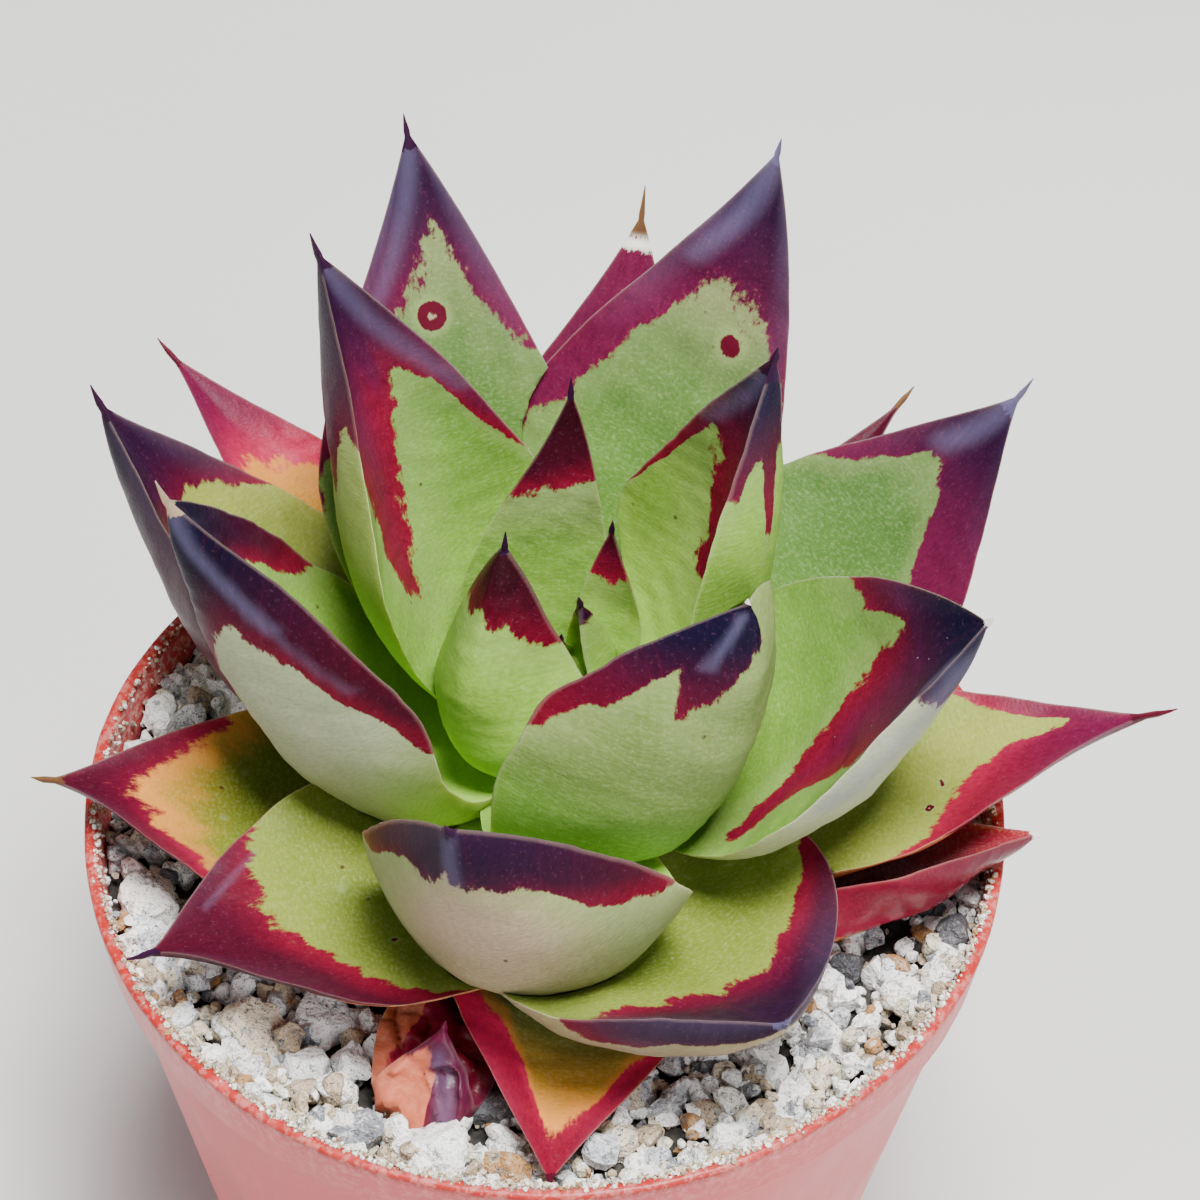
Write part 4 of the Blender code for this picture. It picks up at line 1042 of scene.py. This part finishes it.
def leaf_material(name, gloss, softness, halo, spread, glow, index):
    """Skin of a leaf: flesh with a fine cross grain, a ragged red margin, spots, wax with a
    painted sheen on it, and a pale line along the edge that is a painted highlight where light
    catches it."""
    material, tree, shader = new_material(name)
    place = node(tree, "ShaderNodeTexCoord", {}, "Object")
    skin = node(tree, "ShaderNodeUVMap", {}, uv_map="leaf_mm")
    lobes = noise(tree, scaled(tree, skin, (0.42, 0.26, 1.0)), 1.0, 2.0, 0.5)
    teeth = noise(tree, scaled(tree, skin, (2.2, 1.1, 1.0)), 1.0, 5.0, 0.68)
    weave = noise(tree, scaled(tree, skin, (1.7, 3.2, 1.0)), 1.0, 2.0, 0.5)
    cloud = noise(tree, place, 110.0, 3.0, 0.5)
    grain = noise(tree, place, 3000.0, 2.0, 0.6)
    fibre = noise(tree, scaled(tree, skin, (2.2, 0.08, 1.0)), 1.0, 3.0, 0.6)

    ragged = math_node(tree, "ADD", swing(tree, lobes, 4.2), swing(tree, teeth, 2.8))
    edge = math_node(tree, "ADD", attribute(tree, "red"), ragged)
    red = step(tree, edge, -softness, softness)
    flesh = tinted(
        tree, attribute(tree, "flesh", "Color"),
        (cloud, 0.35, 0.70, 0.60, (0.72, 0.80, 0.62), "MULTIPLY"),
        (weave, 0.42, 0.66, 0.26, (0.52, 0.60, 0.44), "MULTIPLY"),
        (weave, 0.48, 0.30, 0.10, (0.42, 0.48, 0.26)),
        (fibre, 0.50, 0.80, 0.05, (0.44, 0.44, 0.24)),
        (fibre, 0.50, 0.25, 0.22, (0.62, 0.66, 0.50), "MULTIPLY"),
        (grain, 0.52, 0.72, 0.13, (0.46, 0.52, 0.30)),
        (edge, -spread, -0.10, halo, linear(glow)))
    flush = tinted(
        tree, attribute(tree, "flush", "Color"),
        (edge, 0.90, 0.00, 0.12, linear("rose")),
        (teeth, 0.40, 0.68, 0.45, (0.45, 0.42, 0.50), "MULTIPLY"),
        (fibre, 0.52, 0.80, 0.08, linear("rose")),
        (grain, 0.58, 0.74, 0.08, (0.34, 0.14, 0.26)))
    colour = mix(tree, red, flesh, flush)

    freckle = cells(tree, scaled(tree, skin, (1.0, 0.8, 1.0)), 0.42)
    rare = step(tree, noise(tree, place, 260.0), 0.58, 0.64)
    freckles = product(tree, step(tree, freckle, 0.12, 0.07), rare, 0.8)
    colour = mix(tree, freckles, colour, (0.05, 0.012, 0.012))

    spot = math_node(tree, "ADD", attribute(tree, "spot"), swing(tree, teeth, 0.35))
    ring = product(tree, step(tree, spot, 1.06, 0.98), step(tree, spot, 0.24, 0.36))
    colour = tinted(tree, colour, (spot, 1.70, 1.05, 0.45, linear("sage")),
                    (spot, 0.40, 0.30, 0.80, linear("bone")))
    colour = mix(tree, ring, colour, (0.075, 0.003, 0.012))
    colour = tinted(tree, colour, (spot, 0.10, 0.06, 1.0, (0.05, 0.004, 0.010)))

    # Bluish wax with a painted sheen on it: a painted highlight along keels, tips and margins
    wax_and_sheen_share = product(tree, attribute(tree, "wax_and_sheen"), step(tree, fibre, 0.2, 0.8, 0.8, 1.0), 0.62)
    colour = mix(tree, wax_and_sheen_share, colour, (0.15, 0.14, 0.25))
    # Pale line along the edge: a painted highlight where light catches the rim
    colour = tinted(tree, colour,
                    (attribute(tree, "margin"), 0.22, 0.05, 0.10, (0.52, 0.36, 0.34)))
    torn = math_node(tree, "ADD", attribute(tree, "paint", "Alpha"), swing(tree, teeth, 2.2))
    colour = mix(tree, step(tree, torn, 0.4, 0.6), colour, attribute(tree, "paint", "Color"))

    rough = math_node(tree, "ADD", step(tree, red, 0.0, 1.0, gloss, gloss - 0.10),
                      step(tree, grain, 0.3, 0.8, 0.0, 0.10))
    relief = bump(tree, weave, 0.22, 0.00016, bump(tree, grain, 0.30, 0.00010))
    finish_shader(tree, shader, colour, rough, relief, {
        "Subsurface Weight": 0.20, "Subsurface Radius": (1.0, 0.8, 0.3),
        "Subsurface Scale": 0.003, "IOR": index})
    return material


def plastic_material():
    """Terracotta-red nursery plastic: satin, with faint flow marks, a darker lip and pale dust on
    its upper end, most of it on the inner side."""
    material, tree, shader = new_material("pot_plastic")
    place = node(tree, "ShaderNodeTexCoord", {}, "Object")
    height = node(tree, "ShaderNodeSeparateXYZ", {"Vector": place}, "Z")
    cloud = noise(tree, place, 60.0, 4.0, 0.6)
    fine = noise(tree, place, 1800.0, 3.0, 0.6)
    flow = noise(tree, scaled(tree, place, (1.0, 1.0, 0.08)), 420.0, 3.0, 0.6)
    colour = ramp(tree, cloud, ((0.3, (0.50, 0.052, 0.058)), (0.7, (0.56, 0.074, 0.082))))
    colour = tinted(tree, colour,
                    (height, POT_HEIGHT - 1.5 * MM, POT_HEIGHT - 0.3 * MM, 0.9,
                     (0.32, 0.012, 0.008)),
                    (flow, 0.5, 0.8, 0.35, (0.74, 0.15, 0.15)))
    level = node(tree, "ShaderNodeVectorMath", {0: place, 1: (1.0, 1.0, 0.0)},
                 operation="MULTIPLY")
    reach = node(tree, "ShaderNodeVectorMath", {0: level}, "Value", operation="LENGTH")
    inside = step(tree, reach, RIM_INNER_RADIUS + 0.5 * MM, RIM_INNER_RADIUS + 0.1 * MM, 0.3, 1.0)
    upper = step(tree, height, POT_HEIGHT - 10.0 * MM, POT_HEIGHT + 0.2 * MM)
    patches = step(tree, noise(tree, place, 1100.0, 3.0, 0.75), 0.44, 0.62)
    dust = product(tree, upper, patches, inside, 0.62)
    colour = mix(tree, dust, colour, (0.78, 0.56, 0.48))
    colour = tinted(tree, colour, (fine, 0.62, 0.8, 0.3, (0.85, 0.5, 0.42)))
    rough = step(tree, cloud, 0.2, 0.8, 0.30, 0.46)
    relief = bump(tree, fine, 0.15, 0.0001, bump(tree, flow, 0.12, 0.0003))
    finish_shader(tree, shader, colour, rough, relief, {
        "Subsurface Weight": 0.10, "Subsurface Radius": (1.0, 0.4, 0.3),
        "Subsurface Scale": 0.002, "IOR": 1.3})
    return material


def stone_material(name):
    """Gravel: white pumice, grey and speckled granite and a few amber grains, by the kind of each
    stone."""
    material, tree, shader = new_material(name)
    place = node(tree, "ShaderNodeTexCoord", {}, "Object")
    kind = attribute(tree, "kind")
    base = ramp(tree, kind, (
        (0.0, (0.97, 0.97, 0.96)), (0.33, (0.78, 0.79, 0.80)), (0.45, (0.48, 0.50, 0.53)),
        (0.55, (0.22, 0.24, 0.27)), (0.61, (0.94, 0.92, 0.87)), (0.74, (0.68, 0.60, 0.45)),
        (0.84, (0.44, 0.34, 0.22)), (0.92, (0.40, 0.20, 0.06)), (0.95, (0.08, 0.08, 0.09))),
        "CONSTANT")
    cloud = noise(tree, place, 800.0, 3.0, 0.7)
    salt = noise(tree, place, 1900.0, 3.0, 0.8)
    pepper = noise(tree, place, 2600.0, 3.0, 0.85)
    plain = step(tree, kind, 0.72, 0.75, 1.0, 0.3)
    speckled = step(tree, kind, 0.20, 0.46, 0.45, 1.0)
    patches = product(tree, step(tree, cloud, 0.52, 0.62, 0.0, 0.55), plain)
    colour = tinted(tree, mix(tree, patches, base, CHALK),
                    (cloud, 0.44, 0.36, 0.65, (0.14, 0.15, 0.17)))
    dots = product(tree, step(tree, pepper, 0.56, 0.64), speckled)
    colour = mix(tree, dots, colour, (0.045, 0.045, 0.055))
    crystals = product(tree, step(tree, salt, 0.56, 0.66, 0.0, 0.6), plain)
    colour = tinted(tree, mix(tree, crystals, colour, CHALK),
                    (salt, 0.42, 0.32, 0.45, (0.16, 0.16, 0.17)))
    rough = step(tree, salt, 0.3, 0.7, 0.42, 0.80)
    relief = bump(tree, cloud, 0.8, 0.0009, bump(tree, salt, 0.9, 0.00028))
    finish_shader(tree, shader, colour, rough, relief, {"Specular IOR Level": 0.5})
    return material


def earth_material(name, light, dark, size):
    """Damp peat, or the near-black bed whose colour is painted shade between the stones: crumbs of
    one size in two tones.
    """
    material, tree, shader = new_material(name)
    place = node(tree, "ShaderNodeTexCoord", {}, "Object")
    crumbs = cells(tree, place, 1.0 / size)
    cloud = noise(tree, place, 0.4 / size, 5.0, 0.7)
    colour = mix(tree, step(tree, cloud, 0.35, 0.65), dark, light)
    colour = tinted(tree, colour, (crumbs, 0.2, 0.7, 0.6, dark))
    rough = step(tree, cloud, 0.3, 0.7, 0.85, 0.98)
    finish_shader(tree, shader, colour, rough, bump(tree, crumbs, 0.7, 0.0006), {})
    return material


def floor_material():
    """Pale paper under the pot."""
    material, tree, shader = new_material("paper")
    place = node(tree, "ShaderNodeTexCoord", {}, "Object")
    cloud = noise(tree, place, 6.0, 3.0, 0.5)
    colour = mix(tree, step(tree, cloud, 0.3, 0.7), (0.62, 0.62, 0.61), (0.66, 0.66, 0.65))
    tree.links.new(colour, shader.inputs["Base Color"])
    shader.inputs["Roughness"].default_value = 0.8
    return material


def upper_lift(count):
    """How far each point of a leaf's cutter is raised: the upper face most, its margins not at
    all, so that an outer leaf can't show through an inner one."""
    ring = np.concatenate([CUT_LIFT * (1.0 - ACROSS ** LIFT_POWER), np.zeros(LEAF_POINTS - 1)])
    rows = (count - 2) // len(ring)
    share = np.linspace(0.0, 1.0, rows)
    taper = (np.clip(LIFT_SLOPE * share - LIFT_DELAY, 0.0, 1.0)
             * np.clip(LIFT_SLOPE - LIFT_SLOPE * share, 0.0, 1.0))
    return np.concatenate([(taper[:, None] * ring).ravel(), [0.0, 0.0]])


def make_leaves():
    """Fine leaves from the inside out, each cut clear of the stem and of the ones inside it."""
    skins = {name: leaf_material("leaf_" + name, *look) for name, look in LEAF_SKINS.items()}
    inner = [make_stem(skins["green"])]
    for row in LEAVES:
        name, finish = row[:2]
        mesh = leaf_mesh(read_leaf(row, MARKS[name]))
        whole = points_of(mesh)
        cutters = [cutter for points, cutter in inner if boxes_meet(points, whole)]
        grown = grown_mesh(mesh, CUT_GAP + upper_lift(len(whole))[:, None])
        if cutters:
            mesh = combined_mesh(mesh, cutters, "DIFFERENCE")
        keep_largest_body(mesh)
        inner.append((whole, grown))
        skin = skins["glossy" if name in GLOSSY_LEAVES else finish]
        add_piece(name + "_skin", mesh, skin, "leaf_" + finish, name)


def lathe(name, profile, steps):
    """Closed mesh of a profile of (radius, height) points turned around Z; it starts and ends
    on the axis."""
    profile = np.array(profile)
    turn = np.linspace(0.0, 2.0 * math.pi, steps, endpoint=False)
    inside = profile[1:-1]
    rings = np.stack([inside[:, :1] * np.cos(turn), inside[:, :1] * np.sin(turn),
                      np.broadcast_to(inside[:, 1:], (len(inside), steps))], -1)
    points = np.concatenate([rings.reshape(-1, 3),
                             [[0.0, 0.0, profile[0, 1]], [0.0, 0.0, profile[-1, 1]]]])
    return make_mesh(name, points, *tube_faces(len(inside), steps))


def fillet(profile, size, pieces=3):
    """Round the corners of a profile: each inner corner becomes a short quadratic curve, which
    takes up less than half of the lines beside it."""
    profile = np.array(profile)
    rounded = [profile[0]]
    for before, corner, after in zip(profile[:-2], profile[1:-1], profile[2:]):
        start, end = (corner + unit(other - corner)
                      * min(size, CORNER_SHARE * np.linalg.norm(other - corner))
                      for other in (before, after))
        for share in np.linspace(0.0, 1.0, pieces + 1):
            rounded.append((1 - share) ** 2 * start + 2 * (1 - share) * share * corner
                           + share ** 2 * end)
    rounded.append(profile[-1])
    return rounded


def make_pot():
    """Turned pot with a collar band and a rounded lip, slightly uneven, with drain holes."""
    foot = POT_HEIGHT - BAND_HEIGHT
    profile = (
        (0.0, FLOOR_THICKNESS), *POT_INNER_PROFILE, (RIM_RADIUS, POT_HEIGHT),
        (RIM_RADIUS - 0.1 * MM, POT_HEIGHT - 1.2 * MM), (BAND_FOOT_RADIUS, foot),
        (WALL_TOP_RADIUS, foot - 0.2 * MM), (WALL_FOOT_RADIUS, 0.8 * MM),
        (WALL_FOOT_RADIUS - 0.8 * MM, 0.0), (0.0, 0.0),
    )
    mesh = lathe("pot", fillet(profile, POT_CORNER), POT_STEPS)
    points = points_of(mesh)
    outward = points * np.array([1.0, 1.0, 0.0])
    reach = np.linalg.norm(outward, axis=1, keepdims=True)
    wobble = sum(size * ripples(points, length, SEED + index)
                 for index, (size, length) in enumerate(POT_WOBBLES))
    share = np.clip(points[:, 2:] / POT_HEIGHT, 0.0, 1.0) * (reach > FLOOR_RADIUS)
    move_points(mesh, points + outward / np.maximum(reach, 1e-9) * wobble[:, None] * share)
    top, bottom = FLOOR_THICKNESS + 1.0 * MM, -1.0 * MM
    cutters = []
    for index in range(DRAIN_COUNT):
        angle = 2.0 * math.pi * index / DRAIN_COUNT
        hole = lathe("hole", ((0.0, top), (DRAIN_RADIUS, top), (DRAIN_RADIUS, bottom),
                              (0.0, bottom)), DRAIN_STEPS)
        place = np.array([math.cos(angle), math.sin(angle), 0.0]) * DRAIN_CIRCLE_RADIUS
        move_points(hole, points_of(hole) + place)
        cutters.append(hole)
    mesh = combined_mesh(mesh, cutters, "DIFFERENCE")
    mesh.set_sharp_from_angle(angle=math.radians(POT_SHARP_ANGLE))
    add_piece("pot_shell", mesh, plastic_material(), "pot_plastic", "pot")


def inner_wall_radius(height):
    """Radius of the pot's inner wall at a height."""
    radii, heights = zip(*POT_INNER_PROFILE)
    return np.interp(height, heights, radii)


def gravel_height(radius):
    """Height of the gravel bed at a distance from the pot's axis: a shallow dish."""
    radii = (0.0, GRAVEL_MIDDLE_RADIUS, RIM_INNER_RADIUS)
    depths = (GRAVEL_INNER_DEPTH, GRAVEL_MIDDLE_DEPTH, GRAVEL_WALL_DEPTH)
    return POT_HEIGHT - np.interp(radius, radii, depths)


def ball(subdivisions):
    """Points and triangles of a unit ico sphere."""
    body = bmesh.new()
    bmesh.ops.create_icosphere(body, subdivisions=subdivisions, radius=1.0)
    points = np.array([tuple(v.co) for v in body.verts])
    faces = np.array([[v.index for v in f.verts] for f in body.faces])
    body.free()
    return points, faces


def stones(name, random, subdivisions, centres, radii, sides, kinds=ALL_KINDS):
    """One mesh of many angular stones.

    Each stone is a unit ball squashed along its axes, cut back to a few random planes, turned
    at random and scaled to its radius. All stones are worked out together as one array.
    """
    base, faces = ball(subdivisions)
    count = len(radii)
    points = np.broadcast_to(base, (count,) + base.shape).copy()
    for _ in range(sides):
        direction = unit(random.normal(size=(count, 1, 3)))
        limit = random.uniform(*STONE_CUTS, (count, 1))
        over = np.maximum((points * direction).sum(-1) - limit, 0.0)
        points = points - direction * over[..., None]
    points = points * random.uniform(*STONE_STRETCH, (count, 1, 3))
    places = points * STONE_GRAIN_ZOOM + random.uniform(0, STONE_GRAIN_SHIFT, (count, 1, 3))
    rough = 1.0 + STONE_GRAIN * ripples(places, STONE_GRAIN_LENGTH, SEED)
    points = points * rough[..., None]
    turns = np.linalg.qr(random.normal(size=(count, 3, 3)))[0]
    turns = turns * np.sign(np.linalg.det(turns))[:, None, None]
    points = points @ np.swapaxes(turns, 1, 2) * radii[:, None, None] + centres[:, None, :]
    triangles = (faces[None] + (np.arange(count) * len(base))[:, None, None]).reshape(-1, 3)
    mesh = make_mesh(name, points.reshape(-1, 3), triangles)
    kinds = random.uniform(*kinds, count)
    set_corner_values(mesh, "kind", "FLOAT", np.repeat(kinds, len(faces) * 3))
    mesh.set_sharp_from_angle(angle=math.radians(STONE_SHARP_ANGLE))
    return mesh


def large_stones():
    """Centres and radii of the stones that the part's source fuses into its gravel: the same
    seeded draws in the same order."""
    random = np.random.default_rng(SEED)
    radii = np.sort(random.uniform(*STONE_RADII, STONE_COUNT))[::-1]
    placed = []
    for radius in radii:
        for _ in range(STONE_TRIES):
            furthest = RIM_INNER_RADIUS - STONE_WALL_GAP - radius * (1.0 + STONE_ROUGHNESS)
            distance = furthest * math.sqrt(random.uniform(0.0, 1.0))
            angle = random.uniform(0.0, 2.0 * math.pi)
            x, y = distance * math.cos(angle), distance * math.sin(angle)
            stem_space = math.hypot(x - PLANT_X, y - PLANT_Y) - radius - STEM_RADIUS
            crowded = any(math.hypot(x - a, y - b) < STONE_SPACING * (radius + c)
                          for a, b, c, _ in placed)
            if stem_space > STONE_STEM_GAP and not crowded:
                height = max(float(gravel_height(distance)) + radius * STONE_SINK,
                             GRAVEL_BOTTOM + radius * (1.0 + STONE_ROUGHNESS))
                placed.append((x, y, radius, height))
                random.uniform(0.0, 1.0, STONE_SHAPE_DRAWS)
                break
    placed = np.array(placed)
    return placed[:, [0, 1, 3]], placed[:, 2]


def polar(reach, turn, height):
    """Points from arrays of reach, turn and height."""
    return np.stack([reach * np.cos(turn), reach * np.sin(turn), height], -1)


def draw_sizes(random, count, radii):
    """Radii between two bounds, most of them small."""
    least, most = radii
    return least + (most - least) * random.uniform(0.0, 1.0, count) ** SIZE_POWER


def scatter(random, count, radii, inner, lift):
    """Places for small stones from an inner radius to the wall, at the height of the bed."""
    sizes = draw_sizes(random, count, radii)
    distance = np.sqrt(random.uniform(inner ** 2, RIM_INNER_RADIUS ** 2, count))
    angle = random.uniform(0.0, 2.0 * math.pi, count)
    distance = np.minimum(distance, RIM_INNER_RADIUS - LOOSE_WALL_GAP - sizes)
    height = gravel_height(distance) + sizes * random.uniform(-LOOSE_SINK, lift, count)
    centres = polar(distance, angle, height)
    away = np.hypot(centres[:, 0] - PLANT_X, centres[:, 1] - PLANT_Y)
    clear = away > STEM_RADIUS + LOOSE_STEM_GAP
    return centres[clear], sizes[clear]


def make_bed():
    """Bed of fine crumbs under the stones, near black: painted shade in the gaps between them."""
    edge = inner_wall_radius(gravel_height(RIM_INNER_RADIUS)) - BED_TOP_GAP
    profile = [(edge * share, float(gravel_height(edge * share)) - BED_DEPTH)
               for share in np.linspace(0.0, 1.0, BED_ROWS)]
    profile += [(inner_wall_radius(GRAVEL_BOTTOM) - BED_FOOT_GAP, GRAVEL_BOTTOM),
                (0.0, GRAVEL_BOTTOM)]
    mesh = lathe("bed", profile, BED_STEPS)
    points = points_of(mesh)
    lump = BED_LUMP * ripples(points, BED_LUMP_LENGTH, SEED + 2)
    points[:, 2] += np.where(points[:, 2] > GRAVEL_BOTTOM + 1.0 * MM, lump, 0.0)
    move_points(mesh, points)
    # Near-black crumbs: painted shade in the gaps between the stones
    bed = earth_material("shaded_gravel_bed", (0.07, 0.062, 0.052), (0.014, 0.012, 0.010), 0.9 * MM)
    add_piece("shaded_gravel_bed", mesh, bed, "gravel", "gravel")


def lip_grains(random):
    """Places and radii of the fine grains on the lip and on the wall below it."""
    front = random.uniform(0.0, 1.0, LIP_GRAINS) < LIP_FRONT_SHARE
    angle = np.where(front, random.normal(*LIP_FRONT_TURN, LIP_GRAINS),
                     random.uniform(0.0, 2.0 * math.pi, LIP_GRAINS))
    sizes = draw_sizes(random, LIP_GRAINS, LIP_GRAIN_RADII)
    above = random.uniform(0.0, 1.0, LIP_GRAINS) < LIP_TOP_SHARE
    depth = random.uniform(0.0, 1.0, LIP_GRAINS) ** LIP_DEPTH_POWER * LIP_DEPTH * MM
    height = np.where(above, POT_HEIGHT + LIP_TOP_LIFT * sizes, POT_HEIGHT - depth)
    lip = RIM_INNER_RADIUS + random.normal(*LIP_TOP_OFFSET, LIP_GRAINS) * MM
    wall = inner_wall_radius(height) - sizes * LIP_WALL_SINK
    return polar(np.where(above, lip, wall), angle, height), sizes


def make_gravel():
    """Gravel: the bed, the large stones, smaller stones, grit, and grains on the lip."""
    random = np.random.default_rng(SEED + 100)
    material = stone_material("gravel")
    make_bed()
    centres, sizes = large_stones()
    turn = np.arctan2(centres[:, 1], centres[:, 0])
    sunk = (turn > SUNK_SECTOR[0]) & (turn < SUNK_SECTOR[1])
    sizes = sizes * np.where(sunk, SUNK_SIZE, RAISED_SIZE)
    centres[:, 2] -= np.where(sunk, SUNK_DEPTH, 0.0)
    large = stones("stones", random, STONE_SUBDIVISIONS, centres, sizes, STONE_SIDES)
    add_piece("gravel_stones", large, material, "gravel")
    for (piece, name, count, radii, inner, lift, subdivisions, sides, kinds,
         front_only) in LOOSE_LAYERS:
        centres, sizes = scatter(random, count, radii, inner, lift)
        if front_only:
            front = centres[:, 1] < FRONT_FROM * RIM_INNER_RADIUS
            centres, sizes = centres[front], sizes[front]
        mesh = stones(name, random, subdivisions, centres, sizes, sides, kinds)
        add_piece(piece, mesh, material, "gravel")
    centres, sizes = lip_grains(random)
    add_piece("lip_grit", stones("lip", random, 1, centres, sizes, 3, PALE_KINDS), material,
              "gravel")


def make_stem(material):
    """Stem with its folded buds; returns its points and its grown mesh, as for a leaf."""
    profile = [(radius, PLANT_BASE_HEIGHT + height) for radius, height in STEM_PROFILE]
    mesh = lathe("stem", fillet(profile, STEM_CORNER, 4), STEM_STEPS)
    points = points_of(mesh) + np.array([PLANT_X, PLANT_Y, 0.0])
    move_points(mesh, points)
    corners = len(mesh.loops)
    for name, value in STEM_VALUES:
        set_corner_values(mesh, name, "FLOAT", np.full(corners, value))
    for name, colour in STEM_COLOURS:
        colour = np.append(linear(colour), 1.0)
        set_corner_values(mesh, name, "FLOAT_COLOR", np.tile(colour, (corners, 1)))
    set_corner_values(mesh, "paint", "FLOAT_COLOR", np.zeros((corners, 4)))
    index = np.empty(corners, np.int32)
    mesh.loops.foreach_get("vertex_index", index)
    set_skin_places(mesh, (points[:, [0, 2]] / MM)[index])
    buds = []
    for number in range(BUD_COUNT):
        turn = BUD_TURN + BUD_SPIRAL * number
        row = ("bud_{:02d}".format(number), "green", turn, BUD_REACH * (number + 1),
               BUD_TIP_HEIGHT - BUD_STEP_DOWN * number, turn, BUD_ROOT_HEIGHT, *BUD_RISES,
               BUD_WIDTH - BUD_NARROWING * number, BUD_SHAPE)
        buds.append(leaf_mesh(read_leaf(row, BUD_MARKS), BUD_ROWS))
    joined = combined_mesh(mesh, buds, "UNION")
    add_piece("stem_and_buds", joined, material, "stem", "stem")
    return points_of(joined), grown_mesh(joined, CUT_GAP)


def make_floor():
    """Wide pale sheet under the pot."""
    corners = ((-1.0, -1.0, 0.0), (1.0, -1.0, 0.0), (1.0, 1.0, 0.0), (-1.0, 1.0, 0.0))
    mesh = make_mesh("floor", np.array(corners) * FLOOR_HALF_SIZE, np.array([[0, 1, 2, 3]]))
    mesh.materials.append(floor_material())
    obj = bpy.data.objects.new("floor", mesh)
    bpy.context.scene.collection.objects.link(obj)


def make_camera():
    """Camera where the photograph was taken from, high above the horizon and slightly rolled."""
    rise, roll = math.radians(CAMERA_RISE), math.radians(CAMERA_ROLL)
    back = Vector((0.0, -math.cos(rise), math.sin(rise)))
    right = Vector((1.0, 0.0, 0.0))
    up = back.cross(right)
    across = math.cos(roll) * right + math.sin(roll) * up
    upward = math.cos(roll) * up - math.sin(roll) * right
    place = (Vector(CAMERA_TARGET) + back * CAMERA_DISTANCE) * MM
    camera = bpy.data.cameras.new("camera")
    camera.lens = CAMERA_LENS
    camera.sensor_width = CAMERA_SENSOR
    camera.clip_start = CAMERA_CLIP
    obj = bpy.data.objects.new("camera", camera)
    obj.matrix_world = Matrix(((across.x, upward.x, back.x, place.x),
                               (across.y, upward.y, back.y, place.y),
                               (across.z, upward.z, back.z, place.z), (0.0, 0.0, 0.0, 1.0)))
    bpy.context.scene.collection.objects.link(obj)
    bpy.context.scene.camera = obj


def add_light(name, place, size, power, colour):
    """Square area light aimed at the plant."""
    lamp = bpy.data.lights.new(name, "AREA")
    lamp.size = size
    lamp.energy = power
    lamp.color = colour
    obj = bpy.data.objects.new(name, lamp)
    obj.location = place
    towards = Vector(LIGHT_TARGET) - Vector(place)
    obj.rotation_euler = towards.to_track_quat("-Z", "Y").to_euler()
    bpy.context.scene.collection.objects.link(obj)


def make_lights():
    """Soft studio light: a lamp above, a broad fill from the front right, a weak one opposite."""
    for light in LIGHTS:
        add_light(*light)
    world = bpy.data.worlds.new("studio")
    world.use_nodes = True
    background = world.node_tree.nodes["Background"]
    background.inputs["Color"].default_value = SKY_COLOUR
    background.inputs["Strength"].default_value = SKY_STRENGTH
    bpy.context.scene.world = world


def main():
    """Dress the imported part."""
    make_pot()
    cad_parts["soil"].material_slots[0].material = earth_material(
        "soil", (0.075, 0.05, 0.032), (0.018, 0.012, 0.008), 1.4 * MM)
    make_gravel()
    make_leaves()
    make_floor()
    make_camera()
    make_lights()


main()
